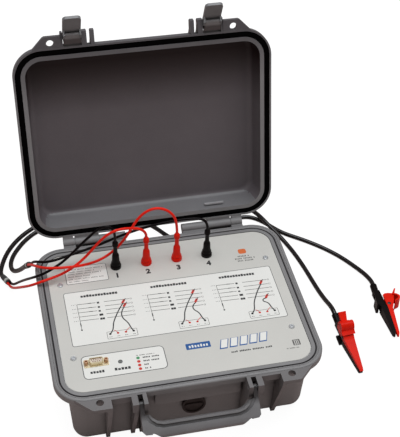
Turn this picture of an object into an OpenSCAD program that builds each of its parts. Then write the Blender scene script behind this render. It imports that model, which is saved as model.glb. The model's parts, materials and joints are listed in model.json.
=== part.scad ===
// Four terminal loop impedance tester in a hinged carrying case, standing open on its base.
// Millimetres. The origin is the centre of the underside, +Z is up and the front is towards -Y.

/* [Case] */
// Width over the rim
case_w = 340; // [320:1:380]
// Depth over the rim
case_d = 270.4; // [255:0.2:310]
// Height of the base, from the underside to the parting plane
base_h = 106; // [96:1:140]
// Height of the lid, from the parting plane to its stacking ribs
lid_h = 46; // [40:1:60]
// Corner radius of the rim
rim_r = 38; // [38:0.5:44]
// Height of the flange round each half
flange_h = 9; // [8:0.5:11]
// Thickness of the moulded walls
wall = 3.5; // [2.5:0.1:4]
// How far the base wall stands in from the rim at its top
waist_inset = 15; // [14.4:0.1:16]
// How far the base wall stands in from the rim at its foot
foot_inset = 20; // [17:0.5:20]
// Radius of the rounding along the foot
foot_r = 17.5; // [12:0.5:17.5]
// Width of the rounded tongue at the edge of the base
tongue_w = 7.5; // [7:0.1:8]
// Width of the groove behind the tongue
groove_w = 1.5; // [1:0.1:2.5]
// Depth of that groove
groove_depth = 4; // [2:0.2:4.5]

/* [Lid] */
// Angle that the lid stands open, from shut
lid_open = 104.4; // [95:0.2:105]
// Width of the outer lip of the lid
lip_w = 2.4; // [1.5:0.1:3]
// Width of the black gasket
gasket_w = 7.6; // [6:0.1:8]
// Thickness of the gasket
gasket_t = 3.7; // [2.5:0.1:4]
// Width of the whole lid rim, lips and gasket together
lid_rim_w = 15.6; // [15:0.1:18]
// Inner depth of the lid
lid_depth = 36; // [28:1:38]
// Inner radius along the top edge of the lid
lid_fillet = 8; // [5:0.5:10]
// Width of a stacking rib on the lid
stack_w = 16; // [10:1:24]
// Length of a stacking rib
stack_len = 176; // [120:2:190]
// Distance of the stacking ribs from the middle
stack_x = 92; // [70:1:105]

/* [Hinges] */
// Distance of the hinge axis behind the rim
hinge_reach = 9.13; // [8.6:0.01:11]
// Radius of the knuckles
knuckle_r = 6; // [5:0.1:7]
// Radius of the hinge pins
hinge_pin_r = 2.5; // [1.5:0.1:3]
// Inner end of each hinge
hinge_in = 40; // [30:1:50]
// Outer end of each hinge
hinge_out = 126; // [120:1:130]
// Inner end of the lid knuckle
lid_knuckle_in = 76; // [65:1:80]
// Outer end of the lid knuckle
lid_knuckle_out = 110; // [105:1:114]
// Gap between neighbouring knuckles
knuckle_gap = 0.4; // [0.2:0.1:1]

/* [Front fittings] */
// Distance of the padlock holes from the middle
padlock_x = 119; // [117:0.5:121]
// Distance of the padlock holes in front of the rim
padlock_reach = 5.8; // [5.4:0.1:7]
// Radius of the padlock holes
padlock_r = 4.75; // [3:0.25:5]
// Thickness of the padlock tabs
padlock_t = 6; // [4:0.5:8]
// Distance of the inner handle ears from the middle
ear_in = 62.3; // [60:0.1:63]
// Thickness of an inner handle ear
ear_in_t = 5; // [4:0.1:5.4]
// Distance of the outer handle ears from the middle
ear_out = 73.5; // [73:0.1:74]
// Thickness of an outer handle ear
ear_out_t = 7.5; // [5:0.1:7.8]
// Reach of the ears in front of the rim
ear_reach = 17.6; // [17:0.1:20]
// Height of the front face of the ears
ear_face = 14; // [13:0.5:18]
// Depth of the catch bar in front of the rim
catch_depth = 3.4; // [2:0.1:3.6]
// Height of the catch bar
catch_h = 10.5; // [9:0.1:11]
// Width of the pad on the front wall, above the valve
pad_w = 108; // [90:1:112]
// How far the pad stands in from the rim
pad_inset = 10.2; // [9:0.1:12]
// Height of the pad, below the flange
pad_h = 31; // [24:0.5:32]

/* [Handle] */
// Distance of the handle pivot in front of the rim
handle_pivot_reach = 10.8; // [10.2:0.1:11.2]
// Depth of the handle pivot below the parting plane
handle_pivot_drop = 9; // [8.4:0.1:9.6]
// Radius of the handle pins
handle_pin_r = 2.2; // [1.5:0.1:2.5]
// Angle of the hanging handle below the horizontal
handle_angle = 45; // [40:1:50]
// Length of the handle, from its pivot to the edge of the grip
handle_len = 43; // [40:0.5:50]
// Width of the grip from its inner edge to its outer edge
grip_w = 19; // [15:0.5:20]
// Thickness of the grip
grip_t = 15; // [11:0.5:16]
// Thickness of the handle arms at the pivot
arm_t = 5.2; // [4:0.1:5.4]

/* [Latches] */
// Inner edge of each latch lever
lever_in = 79; // [78.9:0.1:80.4]
// Outer edge of each latch lever
lever_out = 102.2; // [100:0.1:102.3]
// Length of a lever, from its pivot to its tip
lever_len = 40; // [32:0.5:48]
// Thickness of a lever plate
lever_t = 4; // [3:0.1:4]
// Distance of the lever pivots in front of the rim
lever_pivot_reach = 11.8; // [11.6:0.1:12.6]
// Height of the lever pivots above the parting plane
lever_pivot_h = 8; // [7.4:0.1:9]
// Radius of the lever pins
lever_pin_r = 1.8; // [1.2:0.1:2.2]
// Angle that each lever stands open, from shut
lever_open = 51.5; // [40:0.5:60]
// Lean of each hanging hook, out from straight down
hook_lean = 9; // [5:0.5:12]
// Radius of the hook pins
hook_pin_r = 1.3; // [1:0.1:1.5]
// Reach of a hook from its pin to the outer face of its lip
hook_len = 13; // [12:0.1:14]

/* [Purge valve] */
// Distance of the valve from the middle
valve_x = 1; // [-6:0.5:6]
// Height of the valve
valve_z = 50.5; // [44:0.5:54]
// Radius of the valve knob
valve_knob_r = 15.2; // [12:0.1:16]
// Thickness of the valve knob
valve_knob_t = 3.6; // [3:0.1:6]
// Radius of the threaded valve body
valve_body_r = 7; // [5:0.5:9]

/* [Panel] */
// How far the panel stands in from the rim
panel_inset = 14.4; // [13.5:0.1:15]
// Depth of the panel face below the parting plane
panel_drop = 1.4; // [1:0.1:3]
// Thickness of the panel plate
panel_t = 3; // [2:0.1:4]
// Thickness of the printed overlay
overlay_t = 0.5; // [0.3:0.1:0.8]
// Width of the seat under the edge of the panel
seat_w = 9; // [6:0.5:12]
// Distance of the panel screws in from the panel's side edges
screw_in = 15.2; // [12:0.1:18]
// Distance of the panel screws in front of and behind the middle
screw_y = 65; // [60:0.5:90]
// Radius of a panel screw head
screw_head_r = 3.7; // [3:0.1:4.5]
// Radius of a panel screw
screw_r = 1.9; // [1.5:0.1:2.3]
// Spacing of the measuring sockets
socket_pitch = 41.75; // [36:0.25:46]
// Distance of the sockets behind the middle
socket_y = 86.5; // [80:0.5:92]
// Radius of a socket collar
socket_collar_r = 7.2; // [6.5:0.1:8.5]
// Height of a socket collar
socket_collar_h = 5; // [3:0.5:7]
// Radius of the threaded part of a socket
socket_body_r = 5.6; // [5.2:0.1:6]
// Radius of the bore of a socket
socket_bore_r = 4.2; // [3.8:0.1:4.6]
// Length of a socket below the panel face
socket_len = 24; // [20:0.5:26]
// Height of a plug above the panel face
plug_h = 47.4; // [44:0.2:56]
// Radius of the foot of a plug
plug_foot_r = 6.3; // [5.5:0.1:7]

/* [Serial connector and lamp] */
// Distance of the serial connector left of the middle
serial_x = 114; // [108:0.5:118]
// Distance of the serial connector in front of the middle
serial_y = 77; // [72:0.5:80]
// Width of the metal shell
serial_w = 17; // [15:0.5:20]
// Spacing of the jack screws
jack_pitch = 25; // [24:0.1:30]
// Distance of the status lamp left of the middle
led_x = 84.4; // [80:0.1:90]
// Distance of the status lamp in front of the middle
led_y = 80.7; // [70:0.1:84]
// Radius of the status lamp
led_r = 1.5; // [1.5:0.1:2.5]

/* [Electronics] */
// Width of the main board
board_w = 230; // [180:5:250]
// Depth of the main board
board_d = 150; // [130:5:180]
// Thickness of the main board
board_t = 1.6; // [1:0.1:2.4]
// Length of the spacers between the panel and the board
spacer_len = 27; // [26.5:0.5:32]
// Radius of those spacers
spacer_r = 3.5; // [3:0.25:5]
// Number of fins on the heat sink
fins = 9; // [5:1:12]
// Height of the heat sink
sink_h = 26; // [15:1:32]
// Number of load resistors
resistors = 4; // [2:1:5]
// Number of relays
relays = 5; // [2:1:6]

/* [Leads and clips] */
// Diameter of the four single leads
lead_d = 3.6; // [2.5:0.1:3.7]
// Diameter of the two heavy cables
cable_d = 6.6; // [4:0.1:6.8]
// Diameter of the sleeves where the leads join
sleeve_d = 8.4; // [8:0.1:9]
// Length of those sleeves
sleeve_len = 20; // [14:1:20]
// Length of a clip from its cable end to its tip
clip_len = 100; // [96:1:110]
// Half width of the thumb plates of a clip
thumb_w = 9.5; // [8.5:0.1:9.5]
// Half width of the jaws at the pivot
jaw_w = 7.6; // [6.5:0.1:8]
// Radius of the clip pivots
clip_pin_r = 1.8; // [1.2:0.1:2.2]

/* [Hidden] */
$fn = 64;
fit = 0.3;
run = 0.08;
eps = 0.01;

// Heights and half sizes of the case
panel_top = base_h - panel_drop;
plate_top = panel_top - overlay_t;
plate_under = plate_top - panel_t;
half_w = case_w / 2;
half_d = case_d / 2;
front = -half_d;
panel_w = case_w - 2 * panel_inset;
panel_d = case_d - 2 * panel_inset;
panel_r = rim_r - panel_inset;
screw_x = panel_w / 2 - screw_in;
boss_r = screw_head_r + 2;
skirt_z = base_h - flange_h;
hinge_y = half_d + hinge_reach;
foot_core = foot_inset + foot_r;
lid_wall_in = lid_rim_w - wall;
lid_core = lid_rim_w + 2.5 + lid_fillet;
lid_skin = lid_depth + wall;
groove_top = gasket_t + fit;

// Front fittings
handle_pivot = [front - handle_pivot_reach, base_h - handle_pivot_drop];
lever_pivot = [front - lever_pivot_reach, base_h + lever_pivot_h];
padlock_y = front - padlock_reach;
hook_pin_at = [10, 5.6];
hook_eye_r = 2.6;
rib_t = 5;

// Wall section of the base in y and z, for the ribs on the front and rear walls
wall_mid_top = -half_d + waist_inset + wall / 2;
wall_mid_foot = -half_d + foot_inset + wall / 2;
rib_foot_y = wall_mid_foot + 4.5;
rib_foot_z = 5;
rib_tip_y = wall_mid_foot - 2.5;

// Sockets, from the left: black, red, red, black
socket_xs = [for (n = [-1.5:1:1.5]) n * socket_pitch];
black = [0.09, 0.09, 0.1];
red = [0.85, 0.1, 0.06];
shell_grey = [0.5, 0.51, 0.52];
lead_colours = [black, red, red, black];

// Electronics under the panel
board_top = plate_under - spacer_len;
board_under = board_top - board_t;
spacer_at = [board_w / 2 - 8, board_d / 2 - 8];

// Places of the clips: cable end, heading and roll
clip_1_at = [237, 24.2, 15.3];
clip_1_heading = -86;
clip_1_pitch = 12.3;
clip_2_at = [311.7, 73.8, thumb_w + 0.1];
clip_2_heading = -96.3;
clip_pivot = [43.7, 12.3];
jaw_gap = 0.3;
neck_w = 5;
spring_w = 5;
spring_seat = 8.6;

// Sleeves: the face that takes the leads, and the way to the end that takes the cable
sleeve_a = [[-175.5, 132, 86.5], unit([-6, 18, -20])];
sleeve_b = [[-205.4, 180, 10], unit([-11, 28, -6.2])];
clip_1_way = [cos(clip_1_heading) * cos(clip_1_pitch), sin(clip_1_heading) * cos(clip_1_pitch), -sin(clip_1_pitch)];
clip_2_way = [cos(clip_2_heading), sin(clip_2_heading), 0];

// Points that lead a route out of a plug, into a sleeve beside its other lead, and into a straight end
plug_top = panel_top + plug_h;
function out_of_plug(n) = [for (h = [0, 5]) [socket_xs[n], socket_y, plug_top + h]];
function into_sleeve(sleeve, side) =
    let (at = sleeve[0] + side * (lead_d / 2 + 0.1) * unit([sleeve[1][1], -sleeve[1][0], 0]))
        [at - 6 * sleeve[1], at];
function into_end(at, way) = [at - 8 * way, at];
function out_of_sleeve(sleeve) = [sleeve[0] + sleeve_len * sleeve[1], sleeve[0] + (sleeve_len + 8) * sleeve[1]];

// Routes of the four leads, from the plug to the sleeve
route_1 = concat(out_of_plug(0), [[-63, 86, 167], [-65.5, 86, 174.5], [-71, 87, 178.5], [-78, 89, 177.5], [-86, 91, 171],
    [-94, 93, 161], [-107, 94, 147], [-120, 92, 134], [-133, 88, 125], [-147, 83, 120], [-159, 79, 117],
    [-170, 81, 111.5], [-178.5, 93, 98], [-185, 120, 70], [-192, 150, 38], [-198, 165, 20]],
    into_sleeve(sleeve_b, 1));
route_2 = concat(out_of_plug(1), [[-24, 86.5, 164], [-32, 86, 170], [-47, 83, 175], [-60, 80.5, 177],
    [-72, 80.5, 172], [-83, 82, 160], [-93, 84, 145], [-104, 86, 129], [-117, 81, 122], [-130, 77, 117],
    [-143, 73, 115], [-156, 70, 114], [-169, 68, 112], [-180, 76, 101], [-189, 98, 79], [-197, 128, 49],
    [-203, 156, 23]], into_sleeve(sleeve_b, -1));
route_3 = concat(out_of_plug(2), [[20, 88, 172], [16, 89, 183], [8, 91, 191], [-3, 93, 195],
    [-14, 94, 193], [-24, 95, 186], [-32, 95, 176], [-39, 94, 164], [-46, 93, 152], [-54, 94.5, 138],
    [-65, 95, 125], [-80, 91, 118], [-98, 84, 119], [-117, 76, 125], [-135, 74, 128], [-151, 77, 127],
    [-163, 87, 121], [-171, 106, 109]], into_sleeve(sleeve_a, -1));
route_4 = concat(out_of_plug(3), [[60.5, 88, 165], [54, 90, 169.5], [37, 93, 169], [19, 96, 166],
    [-1, 98, 162], [-21, 100, 157], [-40, 101, 151], [-58, 102, 144], [-75, 102, 137], [-92, 102, 131],
    [-109, 101, 127], [-127, 99, 124], [-143, 97, 121], [-156, 99, 118], [-166, 109, 112], [-171, 118.5, 103.5]],
    into_sleeve(sleeve_a, 1));
// Routes of the heavy cables, from the sleeve to the clip
route_a = concat(out_of_sleeve(sleeve_a), [[-186, 168, 45], [-192, 186, 25], [-198, 204, 9], [-200, 222, 3.5],
    [-196, 238, 3.5], [-187, 254, 3.5], [-173, 273, 3.5], [-152, 291, 3.5], [-118, 304, 3.5],
    [-70, 308, 3.5], [-25, 301, 3.5], [8, 284, 3.5], [29, 260, 3.5], [42, 236, 3.5], [62, 221, 3.5],
    [88, 219, 3.5], [112, 230, 3.5], [130, 249, 3.5], [150, 262, 3.5], [174, 263, 3.5], [192, 246, 3.5],
    [203, 230, 3.5], [215, 214, 3.5], [237, 198, 3.5], [262, 176, 3.5], [285, 149, 4], [300, 120, 6],
    [309, 98, 8.8]], into_end(clip_2_at, clip_2_way));
route_b = concat(out_of_sleeve(sleeve_b), [[-214, 218, 3.5], [-207, 240, 3.5], [-196, 261, 3.5],
    [-180, 281, 3.5], [-155, 302, 3.5], [-112, 318, 3.5], [-55, 326, 3.5], [5, 326, 3.5],
    [65, 320, 3.5], [115, 308, 3.5], [152, 297, 3.5], [172, 281, 7.5], [182, 262, 12], [189, 244, 13], [196, 228, 10.5],
    [205, 211, 7], [212.5, 193, 4.5], [218, 176, 3.5], [222.5, 155, 3.5], [227, 128, 3.5], [231, 93, 3.5], [234, 63, 8],
    [236, 44, 14.5]], into_end(clip_1_at, clip_1_way));

// Helpers

// A rounded rectangle of straight sides and true arcs
module rounded(w, d, r) {
    square([w - 2 * r, d], center = true);
    square([w, d - 2 * r], center = true);
    for (x = [-1, 1], y = [-1, 1])
        translate([x * (w / 2 - r), y * (d / 2 - r)]) circle(r);
}

// Carries a section round the rim: in the section, x runs inwards from the rim and y runs up
module round_the_rim() {
    for (m = [0, 1]) mirror([m, 0, 0]) {
        translate([-half_w, half_d - rim_r, 0]) rotate([90, 0, 0])
            linear_extrude(case_d - 2 * rim_r) children();
        for (k = [0, 1]) mirror([0, k, 0])
            translate([half_w - rim_r, half_d - rim_r, 0])
                rotate_extrude(angle = 90, $fn = 96) translate([rim_r, 0]) mirror([1, 0]) children();
    }
    for (k = [0, 1]) mirror([0, k, 0])
        translate([rim_r - half_w, -half_d, 0]) rotate([90, 0, 90])
            linear_extrude(case_w - 2 * rim_r) children();
}

// The flat floor or top inside the swept sections, which reach in to the corner centres
module middle_plate(z) {
    translate([rim_r - half_w, rim_r - half_d, z]) cube([case_w - 2 * rim_r, case_d - 2 * rim_r, wall]);
}

// A quarter of a ring in the section plane, from the wall to the floor
module foot_arc(core, outer, inner) {
    intersection() {
        translate([core, outer]) difference() {
            circle(outer);
            circle(inner);
        }
        translate([core - outer, 0]) square([outer, outer]);
    }
}

// Turns what is drawn with the lid shut to the open lid
module on_open_lid() {
    translate([0, hinge_y, base_h]) rotate([-lid_open, 0, 0]) translate([0, -hinge_y, -base_h]) children();
}

// A plate whose outline is drawn in y and z, from x0 to x1
module across(x0, x1) {
    translate([x0, 0, 0]) rotate([90, 0, 90]) linear_extrude(x1 - x0) children();
}

// The same plate on both sides of the middle
module both_sides() {
    children();
    mirror([1, 0, 0]) children();
}

// A rod along X, with its axis at a place in y and z
module rod(x0, x1, at, r) {
    translate([x0, at[0], at[1]]) rotate([0, 90, 0]) cylinder(h = x1 - x0, r = r);
}

// Stands a piece that is drawn along Z on a start point, heading along a direction
module heading(start, dir) {
    translate(start)
        rotate([0, acos(dir[2] / norm(dir)), atan2(dir[1], dir[0])]) children();
}

function unit(v) = v / norm(v);

// A smooth curve drawn by the points of a route, from its first to its last: a cubic spline in steps
function spline(p, t) = let (u = 1 - t)
    (u * u * u * p[0] + (3 * t * t * t - 6 * t * t + 4) * p[1] + (3 * u * u * u - 6 * u * u + 4) * p[2]
        + t * t * t * p[3]) / 6;
function smooth(route, steps = 2) =
    let (last = len(route) - 1,
        p = concat([2 * route[0] - route[1]], route, [2 * route[last] - route[last - 1]]))
        concat([for (i = [0:last - 1], s = [0:steps - 1])
            spline([p[i], p[i + 1], p[i + 2], p[i + 3]], s / steps)], [route[last]]);
function tangent(route, i) = unit(route[min(i + 1, len(route) - 1)] - route[max(i - 1, 0)]);
function ring(at, along, across_dir, r, sides) =
    let (a = unit(cross(along, across_dir)), b = cross(along, a))
        [for (k = [0:sides - 1]) at + r * (cos(360 * k / sides) * a + sin(360 * k / sides) * b)];

// A plain tube swept along the smooth curve of a route
module tube(drawn_by, d, across_dir, sides = 8) {
    route = smooth(drawn_by);
    last = len(route) - 1;
    points = [for (i = [0:last]) each ring(route[i], tangent(route, i), across_dir, d / 2, sides)];
    sides_of = [for (i = [0:last - 1], k = [0:sides - 1])
        let (a = i * sides + k, b = i * sides + (k + 1) % sides) [a, b, b + sides, a + sides]];
    polyhedron(points, concat(sides_of,
        [[for (k = [sides - 1:-1:0]) k]], [[for (k = [0:sides - 1]) last * sides + k]]), convexity = 8);
}

// Base of the case

module base_rim_section() {
    tongue_r = 2.5;
    ledge_in = panel_inset - 0.4;
    translate([0, skirt_z]) square([tongue_w + groove_w + 1, flange_h - groove_depth]);
    translate([0, skirt_z]) square([tongue_w, flange_h - tongue_r]);
    translate([tongue_r, base_h - tongue_r]) square([tongue_w - 2 * tongue_r, tongue_r]);
    for (x = [tongue_r, tongue_w - tongue_r])
        translate([x, base_h - tongue_r]) circle(tongue_r);
    translate([tongue_w + groove_w, skirt_z])
        square([ledge_in - tongue_w - groove_w, flange_h - panel_drop + 0.4]);
    polygon([[ledge_in - 1, skirt_z], [ledge_in - 1, plate_under], [panel_inset + seat_w, plate_under],
        [panel_inset + seat_w, plate_under - 3], [waist_inset + wall, plate_under - 3 - seat_w],
        [waist_inset, plate_under - 3 - seat_w], [waist_inset, skirt_z]]);
}

module base_wall_section() {
    polygon([[foot_inset, foot_r], [waist_inset, skirt_z + eps],
        [waist_inset + wall, skirt_z + eps], [foot_inset + wall, foot_r]]);
    foot_arc(foot_core, foot_r, foot_r - wall);
    translate([foot_core, 0]) square([rim_r - foot_core, wall]);
}

// Side view of a rib on the front wall: under the flange, and in front of it up to a given height and reach
module rib_outline(reach, top, face) {
    polygon([[wall_mid_top, skirt_z], [front, skirt_z], [front, top], [front - reach, top], [front - reach, top - face],
        [rib_tip_y, rib_foot_z], [rib_foot_y, rib_foot_z], [wall_mid_foot, foot_r]]);
}

module padlock_outline(start_x, start_y, corner_x, tip_y, bite) {
    tab_in = padlock_x - 13.7;
    polygon([[start_x, start_y], [corner_x, tip_y + 1.4], [corner_x - 2.5, tip_y],
        [tab_in, tip_y], [tab_in, front + 1.8], [start_x, start_y + bite]]);
}

// Fittings on the front of the base, on one side: padlock tab, two handle ears with their ribs, and the
// catch bar of the latch. They are cut to the rim and the wall that carry them.
module front_fittings(side) {
    tab_in = padlock_x - 13.7;
    strap = 2;
    color(shell_grey) mirror([side < 0 ? 1 : 0, 0, 0]) difference() {
        union() {
            translate([0, 0, base_h - padlock_t]) linear_extrude(padlock_t)
                padlock_outline(half_w - 12, front + 13.2, padlock_x + 11, padlock_y - 11, 0.8);
            across(tab_in, tab_in + rib_t)
                rib_outline(padlock_reach + 10.4, base_h - padlock_t + eps, flange_h - padlock_t);
            across(ear_in, ear_in + ear_in_t) rib_outline(ear_reach + 0.7, base_h, ear_face);
            across(ear_out, ear_out + rib_t) rib_outline(ear_reach, base_h, ear_face);
            across(ear_out, ear_out + ear_out_t) translate([front - ear_reach, base_h - ear_face])
                square([ear_reach, ear_face]);
            across(ear_in + eps, tab_in + eps)
                translate([front - strap, skirt_z]) square([strap, flange_h - 0.3]);
            across(ear_out + ear_out_t - eps, tab_in + eps)
                translate([front - catch_depth, base_h - catch_h]) square([catch_depth, catch_h - 0.3]);
        }
        translate([0, 0, skirt_z]) linear_extrude(flange_h + 1) rounded(case_w, case_d, rim_r);
        round_the_rim() base_rim_section();
        round_the_rim() base_wall_section();
        translate([padlock_x, padlock_y, base_h - padlock_t - 1]) cylinder(h = padlock_t + 2, r = padlock_r);
        rod(ear_in - 1, ear_out + ear_out_t + 1, handle_pivot, handle_pin_r + run);
    }
}

// Pad on the front wall, above the valve, with room for its knob where a low case brings them together
module valve_pad() {
    difference() {
        translate([-pad_w / 2 + 5, 0, 0]) across(0, pad_w)
            polygon([[wall_mid_top, skirt_z + 1], [front + pad_inset, skirt_z + 1],
                [front + pad_inset, skirt_z - pad_h], [wall_mid_top + 1.6, skirt_z - pad_h]]);
        at_valve() translate([0, 0, -wall]) cylinder(h = 30, r = valve_knob_r + run);
    }
}

module hinge_web() {
    polygon([[half_d - 3, skirt_z], [half_d - 3, base_h - 0.4], [hinge_y - 2, base_h - 0.4],
        [hinge_y, base_h + 1], [hinge_y + 3, base_h - 4.8], [half_d - 3, skirt_z - 5]]);
}

// Shoulder that the open lid leans on
module lid_stop() {
    lean = lid_open - 90;
    translate([hinge_y, base_h]) rotate(-lean) polygon([[-2, 0], [0, hinge_reach - fit],
        [6.5, hinge_reach - fit], [6.5, 2], [0, -3]]);
}

module base_hinges() {
    both_sides() {
        for (span = [[hinge_in, lid_knuckle_in], [lid_knuckle_out, hinge_out]]) {
            rod(span[0], span[1], [hinge_y, base_h], knuckle_r);
            across(span[0], span[1]) hinge_web();
        }
        across(lid_knuckle_out + 2, hinge_out) lid_stop();
    }
}

// Bosses under the panel that take its screws
module screw_bosses() {
    for (x = [-1, 1], y = [-1, 1]) translate([x * screw_x, y * screw_y, plate_under - 12])
        linear_extrude(12) {
            circle(boss_r);
            translate([x > 0 ? 0 : waist_inset + 2 + screw_x - half_w, -boss_r])
                square([half_w - waist_inset - 2 - screw_x, 2 * boss_r]);
        }
}

module base_shell() {
    color(shell_grey) difference() {
        union() {
            round_the_rim() base_rim_section();
            round_the_rim() base_wall_section();
            middle_plate(0);
            valve_pad();
            base_hinges();
            screw_bosses();
        }
        for (x = [-1, 1], y = [-1, 1]) translate([x * screw_x, y * screw_y, plate_under - 8])
            cylinder(h = 10, r = screw_r + eps);
        both_sides() rod(hinge_in - 1, hinge_out + 1, [hinge_y, base_h], hinge_pin_r + run);
        translate([valve_x, front + foot_inset + wall + 5, valve_z]) rotate([90, 0, 0])
            cylinder(h = 12, r = valve_body_r + run);
    }
}

// Panel with what is printed on it and screwed through it

module panel_holes(below, above) {
    for (x = socket_xs)
        translate([x, socket_y, below]) cylinder(h = above - below, r = socket_body_r + run);
    for (x = [-1, 1], y = [-1, 1])
        translate([x * screw_x, y * screw_y, below])
            cylinder(h = above - below, r = screw_r + run);
    translate([-led_x, -led_y, below]) cylinder(h = above - below, r = led_r + 1 + run);
    translate([-serial_x, -serial_y, below]) linear_extrude(above - below)
        rounded(serial_w + 0.4, 8.8, 2);
    for (x = [-1, 1])
        translate([x * jack_pitch / 2 - serial_x, -serial_y, below])
            cylinder(h = above - below, r = 1.6);
}

module panel_plate() {
    color([0.75, 0.75, 0.74]) difference() {
        translate([0, 0, plate_under]) linear_extrude(panel_t) rounded(panel_w, panel_d, panel_r);
        panel_holes(plate_under - 1, plate_top + 1);
    }
}

module panel_overlay() {
    color([0.8, 0.8, 0.78]) difference() {
        translate([0, 0, plate_top]) linear_extrude(overlay_t)
            rounded(panel_w - 1, panel_d - 1, panel_r - 0.5);
        panel_holes(plate_top - 1, panel_top + 1);
    }
}

module panel_screws() {
    color("silver") for (x = [-1, 1], y = [-1, 1])
        translate([x * screw_x, y * screw_y, 0]) difference() {
            union() {
                translate([0, 0, panel_top]) cylinder(h = 1.2, r = screw_head_r);
                translate([0, 0, panel_top + 1.2]) cylinder(h = 1, r1 = screw_head_r, r2 = screw_head_r - 1.2, $fn = 48);
                translate([0, 0, plate_under - 6]) cylinder(h = 6 + panel_t + overlay_t + eps, r = screw_r);
            }
            translate([0, 0, panel_top + 1.1]) linear_extrude(2) {
                square([3.6, 0.9], center = true);
                square([0.9, 3.6], center = true);
            }
        }
}

// One measuring socket, with the blind bore that takes the plug
module socket(n) {
    color(lead_colours[n]) translate([socket_xs[n], socket_y, 0]) difference() {
        union() {
            translate([0, 0, panel_top]) cylinder(h = socket_collar_h - 1, r = socket_collar_r);
            translate([0, 0, panel_top + socket_collar_h - 1])
                cylinder(h = 1, r1 = socket_collar_r, r2 = socket_collar_r - 0.8);
            translate([0, 0, panel_top - socket_len]) cylinder(h = socket_len + eps, r = socket_body_r);
        }
        translate([0, 0, panel_top - socket_len + 2]) cylinder(h = 60, r = socket_bore_r);
    }
}

module socket_nuts() {
    color("silver") for (x = socket_xs)
        translate([x, socket_y, plate_under - 3]) difference() {
            cylinder(h = 3, r = socket_body_r + 2.6, $fn = 6);
            translate([0, 0, -1]) cylinder(h = 5, r = socket_body_r + run);
        }
}

// One plug, revolved: shroud in the socket, flared foot, grip, waist and cable ring
module plug(n) {
    foot = socket_collar_h;
    color(lead_colours[n]) translate([socket_xs[n], socket_y, panel_top]) rotate_extrude() difference() {
        polygon([[0, 4 - socket_len], [socket_bore_r - run, 4 - socket_len], [socket_bore_r - run, foot],
            [plug_foot_r, foot], [plug_foot_r, foot + 3.6], [4.2, foot + 9], [3.7, foot + 21],
            [2.8, foot + 23.5], [2.8, plug_h - 9.6], [4, plug_h - 8], [4, plug_h - 3.4],
            [lead_d / 2 + 0.5, plug_h], [0, plug_h]]);
        translate([0, 3 - socket_len]) square([2, socket_len - 5]);
    }
}

// Serial connector: D-shaped metal shell on its flange, dark insert with its pins, two jack screws

module d_outline(w, h, r) {
    slope = 0.8;
    for (x = [-1, 1]) {
        translate([x * (w / 2 - r), h / 2 - r]) circle(r);
        translate([x * (w / 2 - r - slope), r - h / 2]) circle(r);
    }
    polygon([[r - w / 2, h / 2], [w / 2 - r, h / 2], [w / 2, h / 2 - r], [w / 2 - slope, r - h / 2],
        [w / 2 - r - slope, -h / 2], [r + slope - w / 2, -h / 2], [slope - w / 2, r - h / 2], [-w / 2, h / 2 - r]]);
}

module serial_shell() {
    color([0.78, 0.66, 0.4]) translate([-serial_x, -serial_y, 0]) difference() {
        union() {
            translate([0, 0, panel_top]) linear_extrude(0.8) rounded(jack_pitch + 6, 12.4, 1.5);
            translate([0, 0, panel_top]) linear_extrude(6) d_outline(serial_w, 8.4, 1.6);
        }
        translate([0, 0, panel_top + 1.6]) linear_extrude(6) d_outline(serial_w - 1.2, 7.2, 1.2);
        translate([0, 0, panel_top - 1]) linear_extrude(4) rounded(serial_w - 4, 5, 1);
        for (x = [-1, 1])
            translate([x * jack_pitch / 2, 0, panel_top - 1]) cylinder(h = 4, r = 1.6);
    }
}

module serial_insert() {
    color([0.2, 0.19, 0.18]) translate([-serial_x, -serial_y, 0]) {
        translate([0, 0, panel_top - 9]) linear_extrude(10.6) rounded(serial_w - 4.2, 4.8, 0.9);
        for (n = [0:4]) translate([(n - 2) * 2.7, 1.4, panel_top]) cylinder(h = 5, r = 0.5);
        for (n = [0:3]) translate([(n - 1.5) * 2.7, -1.4, panel_top]) cylinder(h = 5, r = 0.5);
    }
}

module serial_jack_screws() {
    color([0.72, 0.58, 0.34]) for (x = [-1, 1])
        translate([x * jack_pitch / 2 - serial_x, -serial_y, 0]) difference() {
            union() {
                translate([0, 0, panel_top + 0.8]) cylinder(h = 4.6, r = 2.8, $fn = 6);
                translate([0, 0, plate_under - 3]) cylinder(h = panel_top + 0.8 - plate_under + 3 + eps, r = 1.5);
            }
            translate([0, 0, panel_top + 1.8]) cylinder(h = 6, r = 1.2);
        }
}

module lamp_bezel() {
    color("dimgray") translate([-led_x, -led_y, plate_under]) difference() {
        union() {
            cylinder(h = panel_top - plate_under, r = led_r + 1);
            translate([0, 0, panel_top - plate_under]) cylinder(h = 1, r1 = led_r + 2, r2 = led_r + 1.4);
        }
        translate([0, 0, -1]) cylinder(h = 8, r = led_r);
    }
}

module status_lamp() {
    color([0.35, 0.36, 0.34]) translate([-led_x, -led_y, 0]) {
        translate([0, 0, plate_under - 2]) cylinder(h = panel_top - plate_under + 2.6, r = led_r - run);
        translate([0, 0, plate_under - 3]) cylinder(h = 2.8, r = led_r + 0.8);
    }
}

// Lid

module lid_section() {
    translate([0, base_h]) {
        square([lip_w, flange_h]);
        translate([0, groove_top]) square([lid_rim_w, flange_h - groove_top]);
        translate([lip_w + gasket_w, 0]) square([lid_rim_w - lip_w - gasket_w, flange_h]);
        polygon([[lid_wall_in, flange_h - eps], [lid_rim_w, flange_h - eps],
            [lid_core - lid_fillet, lid_depth - lid_fillet], [lid_core - lid_fillet - wall, lid_depth - lid_fillet]]);
        translate([0, lid_skin]) mirror([0, 1])
            foot_arc(lid_core, lid_fillet + wall, lid_fillet);
        translate([lid_core, lid_depth]) square([rim_r - lid_core, wall]);
    }
}

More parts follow.
